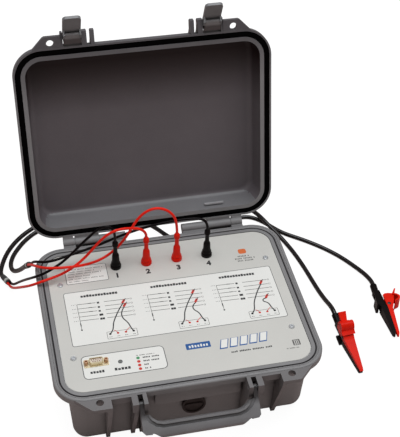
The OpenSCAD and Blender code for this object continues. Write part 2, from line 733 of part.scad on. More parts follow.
module stacking_rib() {
    h = lid_h - lid_skin;
    translate([stack_x, 0, base_h + lid_skin - eps]) linear_extrude(h + eps)
        rounded(stack_w, stack_len, stack_w / 2 - 0.5);
}

module lid_ear_outline() {
    top = lever_pivot_h + 5.4;
    polygon([[front + 2, base_h + 0.4], [front - ear_reach - 0.6, base_h + 2.5],
        [front - ear_reach - 0.6, base_h + top - 3], [front - ear_reach + 2.4, base_h + top],
        [front - 4, base_h + top], [front + lid_wall_in + 1, base_h + lid_skin - 14],
        [front + lid_wall_in + 1, base_h + flange_h - 1], [front + 2, base_h + flange_h - 1]]);
}

module lid_fittings() {
    both_sides() {
        translate([0, 0, base_h + 0.4]) linear_extrude(padlock_t)
            padlock_outline(half_w - 28, front + 0.5, padlock_x + 9.5, padlock_y - 9, 1.9);
        across(padlock_x - 13.7, padlock_x - 13.7 + 2.6) polygon([[front + 3, base_h + padlock_t],
            [padlock_y - 9, base_h + padlock_t], [front - 1, base_h + 20], [front + lid_wall_in + 1, base_h + 26]]);
        across(lever_in - 0.4 - 6.6, lever_in - 0.4) lid_ear_outline();
        across(lever_out + 0.4, lever_out + 0.4 + 2.6) lid_ear_outline();
        across(ear_in, ear_in + ear_in_t) lid_ear_outline();
        // wall behind the latch, between its ears
        across(lever_in - 0.5, lever_out + 0.5) translate([front + fit, base_h + flange_h - 0.5]) square([2.7, 6.5]);
    }
}

module lid_hinges() {
    both_sides() {
        rod(lid_knuckle_in + knuckle_gap, lid_knuckle_out - knuckle_gap, [hinge_y, base_h], knuckle_r);
        across(lid_knuckle_in + knuckle_gap, lid_knuckle_out - knuckle_gap)
            polygon([[half_d - 2, base_h + 0.4], [half_d - 2, base_h + flange_h], [half_d + 3, base_h + flange_h],
                [hinge_y + 3.5, base_h + 4.6], [hinge_y, base_h + 0.4]]);
    }
}

module lid_shell() {
    color(shell_grey) on_open_lid() difference() {
        union() {
            round_the_rim() lid_section();
            middle_plate(base_h + lid_depth);
            both_sides() stacking_rib();
            lid_fittings();
            lid_hinges();
        }
        both_sides() {
            translate([padlock_x, padlock_y, base_h - 1]) cylinder(h = padlock_t + 3, r = padlock_r);
            rod(lever_in - 8, lever_out + 4, lever_pivot, lever_pin_r + run);
            rod(lid_knuckle_in, lid_knuckle_out, [hinge_y, base_h], hinge_pin_r + run);
        }
    }
}

module lid_gasket() {
    color([0.04, 0.04, 0.04]) on_open_lid() round_the_rim()
        translate([lip_w + 0.02, base_h + fit + 0.02]) square([gasket_w - 0.04, gasket_t - 0.04]);
}

module hinge_pins() {
    color("silver") both_sides() rod(hinge_in + 0.5, hinge_out - 0.5, [hinge_y, base_h], hinge_pin_r);
}

// Latches: each lever turns on a pin between two ears of the lid, and carries a hook on a second pin.
// Lever places are given as distance along the lever from its pivot and height off its middle plane.

module at_lever(side) {
    mirror([side < 0 ? 1 : 0, 0, 0]) on_open_lid()
        translate([0, lever_pivot[0], lever_pivot[1]]) rotate([-90 - lever_open, 0, 0]) children();
}

module latch_lever(side) {
    w = lever_out - lever_in;
    cheek = 2.2;
    color([0.3, 0.29, 0.3]) at_lever(side) difference() {
        union() {
            translate([lever_in, 0, -lever_t / 2]) {
                translate([0, 3, 0]) cube([w, lever_len - 8, lever_t]);
                translate([5, 3, 0]) cube([w - 10, lever_len - 3, lever_t]);
                for (x = [5, w - 5]) translate([x, lever_len - 5, 0]) cylinder(h = lever_t, r = 5);
            }
            rod(lever_in, lever_out, [0, 0], 4.4);
            // cheeks that hold the hook pin
            for (x = [lever_in, lever_out - cheek]) across(x, x + cheek)
                polygon([[-3, 0], [5, 8.6], [13, 8.9], [17, 0]]);
        }
        rod(lever_in - 1, lever_out + 1, [0, 0], lever_pin_r + run);
        rod(lever_in - 1, lever_out + 1, hook_pin_at, hook_pin_r + run);
    }
}

// The hook hangs from its pin in the open lid, so its plate points nearly straight down
module latch_hook(side) {
    hang = lid_open + lever_open + hook_lean;
    plate = 3;
    edge = 2.7;
    color([0.33, 0.26, 0.25]) at_lever(side) translate([0, hook_pin_at[0], hook_pin_at[1]]) rotate([hang, 0, 0])
        difference() {
            union() {
                rod(lever_in + edge, lever_out - edge, [0, 0], hook_eye_r);
                translate([lever_in + edge, 0, -hook_eye_r])
                    cube([lever_out - lever_in - 2 * edge, hook_len, plate]);
                translate([lever_in + edge, hook_len - plate, -hook_eye_r])
                    cube([lever_out - lever_in - 2 * edge, plate, plate + 3.6]);
            }
            rod(lever_in, lever_out, [0, 0], hook_pin_r + run);
        }
}

module lever_pins() {
    color("silver") on_open_lid() both_sides() rod(lever_in - 6.9, lever_out + 3, lever_pivot, lever_pin_r);
}

module hook_pin(side) {
    color("silver") at_lever(side) rod(lever_in + 0.2, lever_out - 0.2, hook_pin_at, hook_pin_r);
}

// Handle: two arms on short pins, two shoulders, and a grip with a channel that follows its inner edge.
// It is drawn flat, with v as the distance from the pivot, and then hung at its angle.

handle_in = ear_in + ear_in_t + fit;
handle_out = handle_in + arm_t;
function mirrored(side) = concat(side, [for (i = [len(side) - 1:-1:0]) [-side[i][0], side[i][1]]]);

// Right half of the inner edge, from the shoulder to the grip, moved into the handle by a distance
function inner_edge(e) = let (v = handle_len - grip_w)
    [[handle_in - 6.5 + 1.2 * e, 14.5], [handle_in - 9 + 0.74 * e, v - 6 + 0.7 * e],
        [handle_in - 14 + 0.46 * e, v - 2 + 0.9 * e], [handle_in - 21 + 0.13 * e, v + e]];

module handle_outline() {
    difference() {
        polygon(mirrored([[handle_out, 0], [handle_out, handle_len - 10], [handle_out - 3, handle_len - 6.5],
            [handle_in - 6, handle_len - 5.9], [handle_in - 6, handle_len - 7.4], [handle_in - 9, handle_len - 6.4],
            [handle_in - 18, handle_len]]));
        polygon(mirrored(concat([[handle_in, -1], [handle_in, 13]], inner_edge(0))));
    }
}

// Side view: thin arms that swell into a rounded bar
module handle_side() {
    mid = handle_len - grip_w - 2;
    t = grip_t / 2;
    polygon([[0, -4.5], [mid / 2, -4.5], [mid, -t], [handle_len - 6, -t], [handle_len - 2, -t + 1.8],
        [handle_len, -t + 5], [handle_len, t - 6.5], [handle_len - 1.4, t - 2.6], [handle_len - 4.6, t - 0.3],
        [handle_len - 9, t], [mid, t - 1], [mid / 2, 4.5], [0, 4.5]]);
}

module handle() {
    rail = 2.6;
    channel = 4.2;
    channel_depth = 3.4;
    color([0.42, 0.41, 0.42]) translate([0, handle_pivot[0], handle_pivot[1]]) rotate([handle_angle, 0, 0])
        mirror([0, 1, 0]) difference() {
            union() {
                intersection() {
                    translate([0, 0, -grip_t / 2]) linear_extrude(grip_t) handle_outline();
                    rotate([90, 0, 90]) translate([0, 0, -case_w / 2]) linear_extrude(case_w) handle_side();
                }
                both_sides() rod(handle_in, handle_out, [0, 0], 4.5);
            }
            rod(-half_w, half_w, [0, 0], handle_pin_r + run);
            translate([0, 0, grip_t / 2 - channel_depth]) linear_extrude(channel_depth + 1) difference() {
                polygon(mirrored(concat([[handle_in + 2.4, 12.4]], inner_edge(rail + channel))));
                polygon(mirrored(concat([[handle_in - 2.6, 11]], inner_edge(rail))));
            }
        }
}

module handle_pins() {
    color("silver") both_sides() rod(ear_in + 0.2, ear_out + ear_out_t - 0.2, handle_pivot, handle_pin_r);
}

// Purge valve: body through the wall, ring seal, and a turning knob with a grip across it

module at_valve() {
    foot = foot_inset - (foot_inset - waist_inset) * (valve_z - foot_r) / (skirt_z - foot_r);
    translate([valve_x, front + foot, valve_z]) rotate([90, 0, 0]) children();
}

module purge_valve_body() {
    color([0.12, 0.11, 0.11]) at_valve() difference() {
        union() {
            translate([0, 0, -wall - 6]) cylinder(h = wall + 6.6, r = valve_body_r);
            translate([0, 0, -wall - 3.8]) cylinder(h = 3, r = valve_body_r + 4, $fn = 6);
        }
        translate([0, 0, -wall - 7]) cylinder(h = wall + 9, r = 3 + run);
    }
}

module purge_valve_seal() {
    color([0.02, 0.02, 0.02]) at_valve() translate([0, 0, 1]) difference() {
        cylinder(h = 0.6, r = valve_knob_r - 2);
        translate([0, 0, -1]) cylinder(h = 3, r = valve_body_r + 0.2);
    }
}

module purge_valve_knob() {
    color([0.14, 0.1, 0.1]) at_valve() {
        difference() {
            translate([0, 0, 1.7]) cylinder(h = valve_knob_t, r = valve_knob_r);
            translate([0, 0, valve_knob_t + 0.2]) cylinder(h = 4, r = valve_knob_r - 2.5);
        }
        translate([0, 0, valve_knob_t + 0.1]) linear_extrude(1.6) rounded(2 * valve_knob_r - 8, 6, 2.9);
        translate([0, 0, -wall - 6]) cylinder(h = wall + 8, r = 3);
    }
}

// Leads, sleeves and cables

module lead_1() { color(black) tube(route_1, lead_d, [0, 1, 0]); }
module lead_2() { color(red) tube(route_2, lead_d, [0, 1, 0]); }
module lead_3() { color(red) tube(route_3, lead_d, [0, 1, 0]); }
module lead_4() { color(black) tube(route_4, lead_d, [0, 1, 0]); }
module cable_a() { color(black) tube(route_a, cable_d, [0, 0, 1]); }
module cable_b() { color(black) tube(route_b, cable_d, [0, 0, 1]); }

module split_sleeve(place) {
    color([0.2, 0.2, 0.21]) heading(place[0], place[1]) {
        cylinder(h = sleeve_len - 4, r = sleeve_d / 2);
        translate([0, 0, sleeve_len - 4]) cylinder(h = 4, r1 = sleeve_d / 2, r2 = cable_d / 2 + 0.4);
    }
}

// Clip, lying along its own X from the cable end, with the opening jaw towards +Y and the pivot along Z.
// Each half is its side view and its plan view, crossed. The jaw's cheeks pass outside the body's rear.

module at_clip_1() {
    translate(clip_1_at) rotate([0, 0, clip_1_heading]) rotate([0, clip_1_pitch, 0]) rotate([90, 0, 0]) children();
}

module at_clip_2() {
    translate(clip_2_at) rotate([0, 0, clip_2_heading]) children();
}

// Side view of a half, cut to its plan view: half widths at places along the rear, then a taper to the tip
module clip_half(rear) {
    side = concat(rear, [[clip_pivot[0] + 8, jaw_w], [clip_len, 2.6]]);
    last = len(side) - 1;
    intersection() {
        translate([0, 0, -12]) linear_extrude(24) children();
        rotate([-90, 0, 0]) translate([0, 0, -30]) linear_extrude(60)
            polygon(concat(side, [for (i = [last:-1:0]) [side[i][0], -side[i][1]]]));
    }
}

module clip_body() {
    step = clip_pivot[0] + 3;
    color([0.07, 0.07, 0.08]) difference() {
        union() {
            rotate([0, 90, 0]) cylinder(h = 24, r = neck_w);
            clip_half([[14, neck_w], [step, neck_w], [step, jaw_w]])
                polygon([[14, -4.6], [clip_len - 3, 5.6], [clip_len - 0.5, 7.4], [clip_len - 1, 9.2],
                    [clip_pivot[0] + 46, 10.9], [clip_pivot[0] + 9, 9], [30, 7], [14, 4.8]]);
            // thumb ledge under the pivot
            translate([clip_pivot[0] - 12, -5.6, -thumb_w]) cube([14, 3.5, 2 * thumb_w]);
            // lugs that carry the pivot
            translate([0, 0, -neck_w]) linear_extrude(2 * neck_w) {
                translate(clip_pivot) circle(4.2);
                polygon([[clip_pivot[0] - 9, 6], [clip_pivot[0] + 8, 6], [clip_pivot[0] + 4.2, clip_pivot[1]],
                    [clip_pivot[0] - 4.2, clip_pivot[1]]]);
            }
        }
        translate([clip_pivot[0], clip_pivot[1], -20]) cylinder(h = 40, r = clip_pin_r + run);
        // room for the spring between the lugs
        translate([clip_pivot[0] - 12, spring_seat, -spring_w / 2 - 0.2]) cube([19, 10, spring_w + 0.4]);
    }
}

module clip_jaw() {
    slot = neck_w + fit;
    hook_at = [clip_pivot[0] - 6.2, clip_pivot[1] + 6.2];
    color(red) difference() {
        union() {
            clip_half([[20, 7], [clip_pivot[0] - 10, jaw_w]])
                polygon([[26, 6.9 + jaw_gap], [23.4, 10], [22.7, 14.4], [23.3, 21.8], [30, 22.6], [40, 20.8],
                    [clip_pivot[0] + 3.6, clip_pivot[1] + 5.4], [clip_pivot[0] + 7.3, clip_pivot[1] + 3.7],
                    [clip_len - 4, 15.5], [clip_len, 14], [clip_len - 0.4, 12], [clip_pivot[0] + 46, 10.9 + jaw_gap],
                    [clip_pivot[0] + 9, 9 + jaw_gap], [30, 7 + jaw_gap]]);
            // curled thumb plate
            translate([0, 0, -thumb_w]) linear_extrude(2 * thumb_w) intersection() {
                translate(hook_at) difference() {
                    circle(12.4);
                    circle(9.2);
                }
                translate([hook_at[0] - 14, hook_at[1] + 2.2]) square([30, 14]);
            }
            // rear tab
            translate([0, 0, -4]) linear_extrude(8)
                polygon([[5.5, 27], [24, 20.6], [26, 23.4], [6.2, 29]]);
        }
        // room between the cheeks for the body's neck and lugs, as far as the jaw opens
        translate([0, 0, -slot]) linear_extrude(2 * slot) {
            translate(clip_pivot) circle(5.2);
            polygon([[18, 0], [clip_pivot[0] + 12, 0], [clip_pivot[0] + 9, 9.6],
                [clip_pivot[0] + 5.2, clip_pivot[1]], [clip_pivot[0] - 5.2, clip_pivot[1] + 1.7],
                [29, 14.6], [22, 16.8], [18, 18]]);
        }
        translate([clip_pivot[0], clip_pivot[1], -20]) cylinder(h = 40, r = clip_pin_r + run);
    }
}

module clip_pivot_pin() {
    color("silver") translate([clip_pivot[0], clip_pivot[1], -jaw_w]) cylinder(h = 2 * jaw_w, r = clip_pin_r);
}

// Spring of a clip: its turns as one sleeve round the pivot, and its leg on the body
module clip_spring() {
    color("gray") translate([0, 0, -spring_w / 2]) linear_extrude(spring_w) difference() {
        union() {
            translate(clip_pivot) circle(3.3);
            translate([clip_pivot[0] - 9, spring_seat]) square([9, 1.1]);
        }
        translate(clip_pivot) circle(clip_pin_r + 0.05);
    }
}

// Electronics that hang from the panel on spacers

module main_board() {
    color([0.1, 0.35, 0.18]) difference() {
        translate([-board_w / 2, -board_d / 2, board_under]) cube([board_w, board_d, board_t]);
        for (x = [-1, 1], y = [-1, 1])
            translate([x * spacer_at[0], y * spacer_at[1], board_under - 1])
                cylinder(h = board_t + 2, r = 1.7);
    }
}

module board_spacers() {
    color("silver") for (x = [-1, 1], y = [-1, 1])
        translate([x * spacer_at[0], y * spacer_at[1], 0]) {
            translate([0, 0, board_top]) cylinder(h = spacer_len, r = spacer_r);
            translate([0, 0, board_under - 2]) cylinder(h = board_t + 2 + eps, r = 1.6);
            translate([0, 0, board_under - 3]) cylinder(h = 3, r = 3);
        }
}

module heat_sink() {
    w = 110;
    d = 60;
    pitch = (w - 3) / (fins - 1);
    color([0.65, 0.66, 0.68]) translate([-w / 2 + 40, -d / 2, board_under - sink_h]) {
        translate([0, 0, sink_h - 5]) cube([w, d, 5]);
        for (n = [0:fins - 1]) translate([n * pitch, 0, 0]) cube([3, d, sink_h - 5 + eps]);
    }
}

module load_resistors() {
    color([0.75, 0.62, 0.3]) for (n = [0:resistors - 1])
        translate([-10 + n * 24, -22, board_top]) {
            cube([16, 44, 4]);
            translate([8, 4, 8]) rotate([-90, 0, 0]) cylinder(h = 36, r = 7);
        }
}

module relays() {
    color([0.15, 0.2, 0.3]) for (n = [0:relays - 1])
        translate([-100 + n * 15, -50, board_top]) cube([12, 28, 15]);
}

base_shell();
front_fittings(-1);  // left_front_fittings
front_fittings(1);  // right_front_fittings
panel_plate();
panel_overlay();
panel_screws();
lid_shell();
lid_gasket();
hinge_pins();
latch_lever(-1);  // left_latch_lever
latch_lever(1);  // right_latch_lever
latch_hook(-1);  // left_latch_hook
latch_hook(1);  // right_latch_hook
lever_pins();
hook_pin(-1);  // left_hook_pin
hook_pin(1);  // right_hook_pin
handle();
handle_pins();
purge_valve_body();
purge_valve_seal();
purge_valve_knob();
socket(0);  // socket_1
socket(1);  // socket_2
socket(2);  // socket_3
socket(3);  // socket_4
socket_nuts();
plug(0);  // plug_1
plug(1);  // plug_2
plug(2);  // plug_3
plug(3);  // plug_4
lead_1();
lead_2();
lead_3();
lead_4();
split_sleeve(sleeve_a);  // split_sleeve_a
split_sleeve(sleeve_b);  // split_sleeve_b
cable_a();
cable_b();
at_clip_1() clip_body();  // clip_1_body
at_clip_1() clip_jaw();  // clip_1_jaw
at_clip_1() clip_pivot_pin();  // clip_1_pivot
at_clip_1() clip_spring();  // clip_1_spring
at_clip_2() clip_body();  // clip_2_body
at_clip_2() clip_jaw();  // clip_2_jaw
at_clip_2() clip_pivot_pin();  // clip_2_pivot
at_clip_2() clip_spring();  // clip_2_spring
serial_shell();
serial_insert();
serial_jack_screws();
status_lamp();
lamp_bezel();
main_board();
board_spacers();
heat_sink();
load_resistors();
relays();
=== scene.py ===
"""Loop impedance tester in its open carrying case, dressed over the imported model.

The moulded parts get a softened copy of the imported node, small hardware gets a finish of its own, and the
leads, cables, plugs, sleeves, gasket and panel printing are surfaces worked out here in millimetres.
"""

import json

import bmesh
import bpy
import numpy as np
from mathutils import Matrix, Vector

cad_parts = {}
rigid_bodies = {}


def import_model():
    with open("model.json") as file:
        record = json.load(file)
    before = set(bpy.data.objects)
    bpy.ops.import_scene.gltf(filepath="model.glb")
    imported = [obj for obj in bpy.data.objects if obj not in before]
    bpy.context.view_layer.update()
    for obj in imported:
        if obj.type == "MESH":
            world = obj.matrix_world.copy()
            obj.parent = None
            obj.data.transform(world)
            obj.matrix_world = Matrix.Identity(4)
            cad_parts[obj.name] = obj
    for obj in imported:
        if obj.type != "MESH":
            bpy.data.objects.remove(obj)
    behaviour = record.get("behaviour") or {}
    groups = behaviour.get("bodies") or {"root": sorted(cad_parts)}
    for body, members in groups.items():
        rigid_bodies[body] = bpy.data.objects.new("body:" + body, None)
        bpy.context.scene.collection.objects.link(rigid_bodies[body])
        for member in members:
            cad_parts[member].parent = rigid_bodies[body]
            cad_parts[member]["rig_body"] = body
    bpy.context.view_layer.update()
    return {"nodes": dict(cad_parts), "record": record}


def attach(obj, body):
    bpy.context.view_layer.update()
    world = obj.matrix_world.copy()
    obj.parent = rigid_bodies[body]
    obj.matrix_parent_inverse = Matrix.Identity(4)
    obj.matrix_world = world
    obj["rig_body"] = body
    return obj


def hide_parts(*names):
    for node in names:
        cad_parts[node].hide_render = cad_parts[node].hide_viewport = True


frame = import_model()
nodes = frame["nodes"]

MM = 0.001

# Places and sizes shared with the part's source, in millimetres and degrees
PANEL_TOP = 104.6
BASE_H = 106.0
HALF_W, HALF_D, RIM_R = 170.0, 135.2, 38.0
HINGE_XS, HINGE_Y, LID_OPEN = (-93, 93), 144.33, 104.4
LATCH_X = 90.6
SOCKET_XS = (-62.625, -20.875, 20.875, 62.625)
SOCKET_Y = 86.5
PLUG_TOP = 152.0
LEAD_D, CABLE_D, SLEEVE_D, SLEEVE_LEN = 3.6, 6.6, 8.4, 20.0
SERIAL_X, SERIAL_Y, LAMP_X, LAMP_Y = -114.0, -77.0, -84.4, -80.7
CLIP_1_AT, CLIP_1_HEADING, CLIP_1_PITCH = (237, 24.2, 15.3), np.radians(-86), np.radians(12.3)
CLIP_2_AT, CLIP_2_HEADING = (311.7, 73.8, 9.6), np.radians(-96.3)
CLIP_PIVOT, CLIP_HALF_WIDTH = (43.7, 12.3), 7.2


# Camera at the photograph's angle


def set_camera():
    """Stands the camera in front of the case, a little to its left, and looks down at 42 degrees."""
    lens = bpy.data.cameras.new("photo_camera")
    lens.lens = 92.74
    lens.sensor_width = 36.0
    camera = bpy.data.objects.new("photo_camera", lens)
    across = (0.97592, -0.21649, 0.02666)
    up = (0.12441, 0.65284, 0.74721)
    back = (-0.17917, -0.72590, 0.66405)
    turn = Matrix((across, up, back)).transposed().to_4x4()
    camera.matrix_world = Matrix.Translation((-0.21573, -0.99702, 1.16395)) @ turn
    bpy.context.scene.collection.objects.link(camera)
    bpy.context.scene.camera = camera


set_camera()


# Directions and smooth lines


def unit(v):
    """v divided by its own length, for one vector or for rows of them."""
    v = np.asarray(v, float)
    return v / np.linalg.norm(v, axis=-1, keepdims=True)


def smooth(route, steps=8):
    """Uniform cubic B-spline drawn by the points of a route, from its first to its last, in equal steps of t.

    Each span is (u^3 a + (3t^3 - 6t^2 + 4) b + (3u^3 - 6u^2 + 4) c + t^3 d) / 6 with u = 1 - t.
    """
    r = np.asarray(route, float)
    p = np.vstack([2 * r[0] - r[1], r, 2 * r[-1] - r[-2]])
    t = (np.arange(steps) / steps)[None, :, None]
    u = 1 - t
    a, b, c, d = (p[k : len(p) - 3 + k, None, :] for k in range(4))
    spans = (u**3 * a + (3 * t**3 - 6 * t**2 + 4) * b + (3 * u**3 - 6 * u**2 + 4) * c + t**3 * d) / 6
    return np.vstack([spans.reshape(-1, r.shape[1]), r[-1:]])


def tangents(path, closed=False):
    """Direction of a path at each point, from the point before it to the point after it."""
    if closed:
        return unit(np.roll(path, -1, 0) - np.roll(path, 1, 0))
    return unit(np.gradient(path, axis=0))


def on_open_lid(points, way=1, turn_only=False):
    """Turns points drawn with the lid shut about the hinge axis to the open lid, or back with way = -1."""
    p = np.array(points, float)
    a = np.radians(-LID_OPEN) * way
    axis_y, axis_z = (0.0, 0.0) if turn_only else (HINGE_Y, BASE_H)
    y, z = p[..., 1] - axis_y, p[..., 2] - axis_z
    p[..., 1] = axis_y + y * np.cos(a) - z * np.sin(a)
    p[..., 2] = axis_z + y * np.sin(a) + z * np.cos(a)
    return p


# Surfaces


def grid_faces(rows, columns, close_rows=False):
    """Quads of a grid of points, numbered along each row. Each row wraps round, and the rows can too."""
    i = np.arange(rows if close_rows else rows - 1)[:, None]
    j = np.arange(columns)[None, :]
    a, b = i * columns + j, i * columns + (j + 1) % columns
    c, d = (i + 1) % rows * columns + (j + 1) % columns, (i + 1) % rows * columns + j
    return np.stack([a, b, c, d], -1).reshape(-1, 4)


def enclosed(points, faces):
    """Six times the volume inside closed faces, as a sum of tetrahedra, and below 0 if they face inwards."""
    total = 0.0
    middle = points.mean(0)
    for size in {len(f) for f in faces}:
        corner = points[np.array([f for f in faces if len(f) == size])] - middle
        for k in range(1, size - 1):
            total += np.einsum("ij,ij->", corner[:, 0], np.cross(corner[:, k], corner[:, k + 1]))
    return total


def make(name, shells, body, material, creases=40):
    """One piece from closed shells in millimetres, each turned to face outwards, and ridden on its body."""
    points, faces, count = [], [], 0
    for shell_points, shell_faces in shells:
        if enclosed(shell_points, shell_faces) < 0:
            shell_faces = [f[::-1] for f in shell_faces]
        points.append(shell_points)
        faces += [[v + count for v in f] for f in shell_faces]
        count += len(shell_points)
    mesh = bpy.data.meshes.new(name)
    mesh.from_pydata((np.vstack(points) * MM).tolist(), [], faces)
    mesh.validate()
    mesh.shade_smooth()
    mesh.set_sharp_from_angle(angle=np.radians(creases))
    mesh.materials.append(material)
    piece = bpy.data.objects.new(name, mesh)
    bpy.context.scene.collection.objects.link(piece)
    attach(piece, body)
    return piece


def carried(profile, path, up, closed=False):
    """A closed profile carried along a path: point = path + x * across + y * rise.

    Across is square to the path and to the up direction, and rise is square to the path and across.
    """
    profile, path = np.asarray(profile, float), np.asarray(path, float)
    along = tangents(path, closed)
    across = unit(np.cross(along, np.broadcast_to(up, along.shape)))
    rise = np.cross(across, along)
    x, y = profile[None, :, :1], profile[None, :, 1:]
    points = path[:, None] + x * across[:, None] + y * rise[:, None]
    faces = grid_faces(len(path), len(profile), close_rows=closed).tolist()
    if not closed:
        last = (len(path) - 1) * len(profile)
        faces += [list(range(len(profile)))[::-1], [last + k for k in range(len(profile))]]
    return points.reshape(-1, 3), faces


def turned(profile, start, axis=(0, 0, 1), sides=48):
    """A profile of (radius, height) turned round an axis from a start point, with a pole at each end.

    Each point is start + h * axis + r * (cos(angle) * side + sin(angle) * other).
    """
    profile = np.asarray(profile, float)
    axis = unit(axis)
    side = unit(np.cross(axis, (0, 1, 0) if abs(axis[1]) < 0.9 else (1, 0, 0)))
    other = np.cross(axis, side)
    angle = np.linspace(0, 2 * np.pi, sides, endpoint=False)
    r, h = profile[1:-1, 0][:, None], profile[1:-1, 1][:, None]
    rings = r[..., None] * (np.cos(angle)[None, :, None] * side + np.sin(angle)[None, :, None] * other)
    rings = rings + h[..., None] * axis
    points = np.vstack([rings.reshape(-1, 3), [profile[0, 1] * axis, profile[-1, 1] * axis]]) + start
    faces = grid_faces(len(r), sides).tolist()
    k = np.arange(sides)
    low, high, top = len(points) - 2, len(points) - 1, (len(r) - 1) * sides
    faces += np.stack([np.full(sides, low), (k + 1) % sides, k], -1).tolist()
    faces += np.stack([np.full(sides, high), top + k, top + (k + 1) % sides], -1).tolist()
    return points, faces


def rounded_outline(x0, y0, x1, y1, r, steps=5):
    """Outline of a rounded box: a quarter turn of radius r about each corner's centre."""
    a = np.linspace(0, np.pi / 2, steps)[None] + (np.arange(4) * np.pi / 2)[:, None]
    cx = np.array([x1 - r, x0 + r, x0 + r, x1 - r])[:, None]
    cy = np.array([y1 - r, y1 - r, y0 + r, y0 + r])[:, None]
    return np.stack([cx + r * np.cos(a), cy + r * np.sin(a)], -1).reshape(-1, 2)


def slab(outline, low, high):
    """A thin closed plate: the outline at two heights, joined round its edge."""
    outline = np.asarray(outline, float)
    n = len(outline)
    points = np.vstack([np.column_stack([outline, np.full(n, z)]) for z in (low, high)])
    faces = grid_faces(2, n).tolist() + [list(range(n))[::-1], [n + k for k in range(n)]]
    return points, faces


def stripe(line, width, low, high, closed=False):
    """A printed line: a flat profile of that width carried along points on the panel."""
    line = np.asarray(line, float)
    path = np.column_stack([line, np.full(len(line), (low + high) / 2)])
    h = (high - low) / 2
    profile = [(-width / 2, -h), (width / 2, -h), (width / 2, h), (-width / 2, h)]
    return carried(profile, path, (0, 0, 1), closed)


def disc_outline(x, y, r, sides=20):
    """Outline of a circle: x + r cos a, y + r sin a."""
    a = np.linspace(0, 2 * np.pi, sides, endpoint=False)
    return np.column_stack([x + r * np.cos(a), y + r * np.sin(a)])


# Finishes

WHITE = (1.0, 1.0, 1.0)
ROUGH_SWING = 0.07


def node_tree(name):
    """A new material with its shader, and a short way to add a node with its links and settings."""
    material = bpy.data.materials.new(name)
    material.use_nodes = True
    tree = material.node_tree
    shader = tree.nodes["Principled BSDF"]

    def add(kind, links=(), **values):
        """One node, with its settings and the links into it."""
        node = tree.nodes.new(kind)
        for key, value in values.items():
            setattr(node, key, value)
        for socket, source in links:
            tree.links.new(source, node.inputs[socket])
        return node

    return material, tree, shader, add


def noise(add, place, scale, detail=3.0, rough=0.6):
    """Noise on the piece's own coordinates, at so many waves to the metre."""
    texture = add("ShaderNodeTexNoise", [("Vector", place)])
    texture.inputs["Scale"].default_value = scale
    texture.inputs["Detail"].default_value = detail
    texture.inputs["Roughness"].default_value = rough
    return texture.outputs["Fac"]


def ramp(add, source, low, high, start, stop):
    """Runs a value between two colours."""
    node = add("ShaderNodeValToRGB", [("Fac", source)])
    node.color_ramp.elements[0].position = start
    node.color_ramp.elements[1].position = stop
    node.color_ramp.elements[0].color = (*low, 1)
    node.color_ramp.elements[1].color = (*high, 1)
    return node.outputs["Color"]


def multiplied(add, first, second):
    """One colour times another."""
    node = add("ShaderNodeMix", [("A", first), ("B", second)], data_type="RGBA", blend_type="MULTIPLY")
    node.inputs["Factor"].default_value = 1.0
    return node.outputs["Result"]


def spread_of(colour, share):
    """The same colour darker and lighter by a share."""
    c = np.asarray(colour, float)
    return tuple(np.clip(c * (1 - share), 0, 1)), tuple(np.clip(c * (1 + share), 0, 1))


def moulded(name, colour, rough, spread, grain, patch, bump, depth=0.0002, metal=0.0, stretch=(1, 1, 1),
            level=0.5, painted_crease_shade=None, painted_height_shade=None, ior=1.5):
    """A finish with a fine grain and broad patches, both noise on object coordinates, in waves to the metre.

    The patches run the colour from darker to lighter by the spread, and the grain is multiplied in. The grain
    also lifts the surface, and the patches move the roughness by a little. A stretch squeezes the grain along
    an axis, and so draws it out along the others.
    The crease shade is (reach in metres, what is left of the colour in the deepest creases): painted shade
    from ambient occlusion. The height shade is (dark height, plain height, what is left of red, green and
    blue at the dark one), along z in metres: painted shade that darkens the colour towards the dark height.
    """
    material, tree, shader, add = node_tree(name)
    place = add("ShaderNodeTexCoord").outputs["Object"]
    drawn = add("ShaderNodeMapping", [("Vector", place)])
    drawn.inputs["Scale"].default_value = stretch
    fine = noise(add, drawn.outputs["Vector"], grain, 2.0, 0.5)
    broad = noise(add, place, patch, 4.0, 0.6)
    low, high = spread_of(colour, spread)
    tint = ramp(add, broad, low, high, 0.3, 0.7)
    speck = ramp(add, fine, (1 - spread,) * 3, (1 + spread * 0.5,) * 3, 0.35, 0.65)
    skin = multiplied(add, tint, speck)
    if painted_crease_shade is not None:
        distance, left = painted_crease_shade
        # Painted shade: the colour darkens in creases, where ambient occlusion finds surfaces close by
        creases = add("ShaderNodeAmbientOcclusion", samples=8)
        creases.inputs["Distance"].default_value = distance
        crease_shade_colour = ramp(add, creases.outputs["AO"], (left, left * 0.97, left * 0.96), WHITE, 0.15, 0.8)
        skin = multiplied(add, skin, crease_shade_colour)
    # Painted shade: the colour darkens along z towards the dark height
    if painted_height_shade is not None:
        dark_z, plain_z, left = painted_height_shade
        height = add("ShaderNodeSeparateXYZ", [("Vector", place)]).outputs["Z"]
        reach = add("ShaderNodeMapRange", [("Value", height)])
        reach.inputs["From Min"].default_value = dark_z
        reach.inputs["From Max"].default_value = plain_z
        skin = multiplied(add, skin, ramp(add, reach.outputs["Result"], left, WHITE, 0.0, 1.0))
    tree.links.new(skin, shader.inputs["Base Color"])
    gloss = add("ShaderNodeMapRange", [("Value", broad)])
    gloss.inputs["To Min"].default_value = rough - ROUGH_SWING
    gloss.inputs["To Max"].default_value = rough + ROUGH_SWING
    tree.links.new(gloss.outputs["Result"], shader.inputs["Roughness"])
    lift = add("ShaderNodeBump", [("Height", fine)])
    lift.inputs["Strength"].default_value = bump
    lift.inputs["Distance"].default_value = depth
    tree.links.new(lift.outputs["Normal"], shader.inputs["Normal"])
    shader.inputs["Metallic"].default_value = metal
    shader.inputs["Specular IOR Level"].default_value = level
    shader.inputs["IOR"].default_value = ior
    return material


def ink(name, colour, spread, patch):
    """Flat printing ink or film."""
    return moulded(name, colour, 0.5, spread, 1700, patch, 0.1, 0.0001)
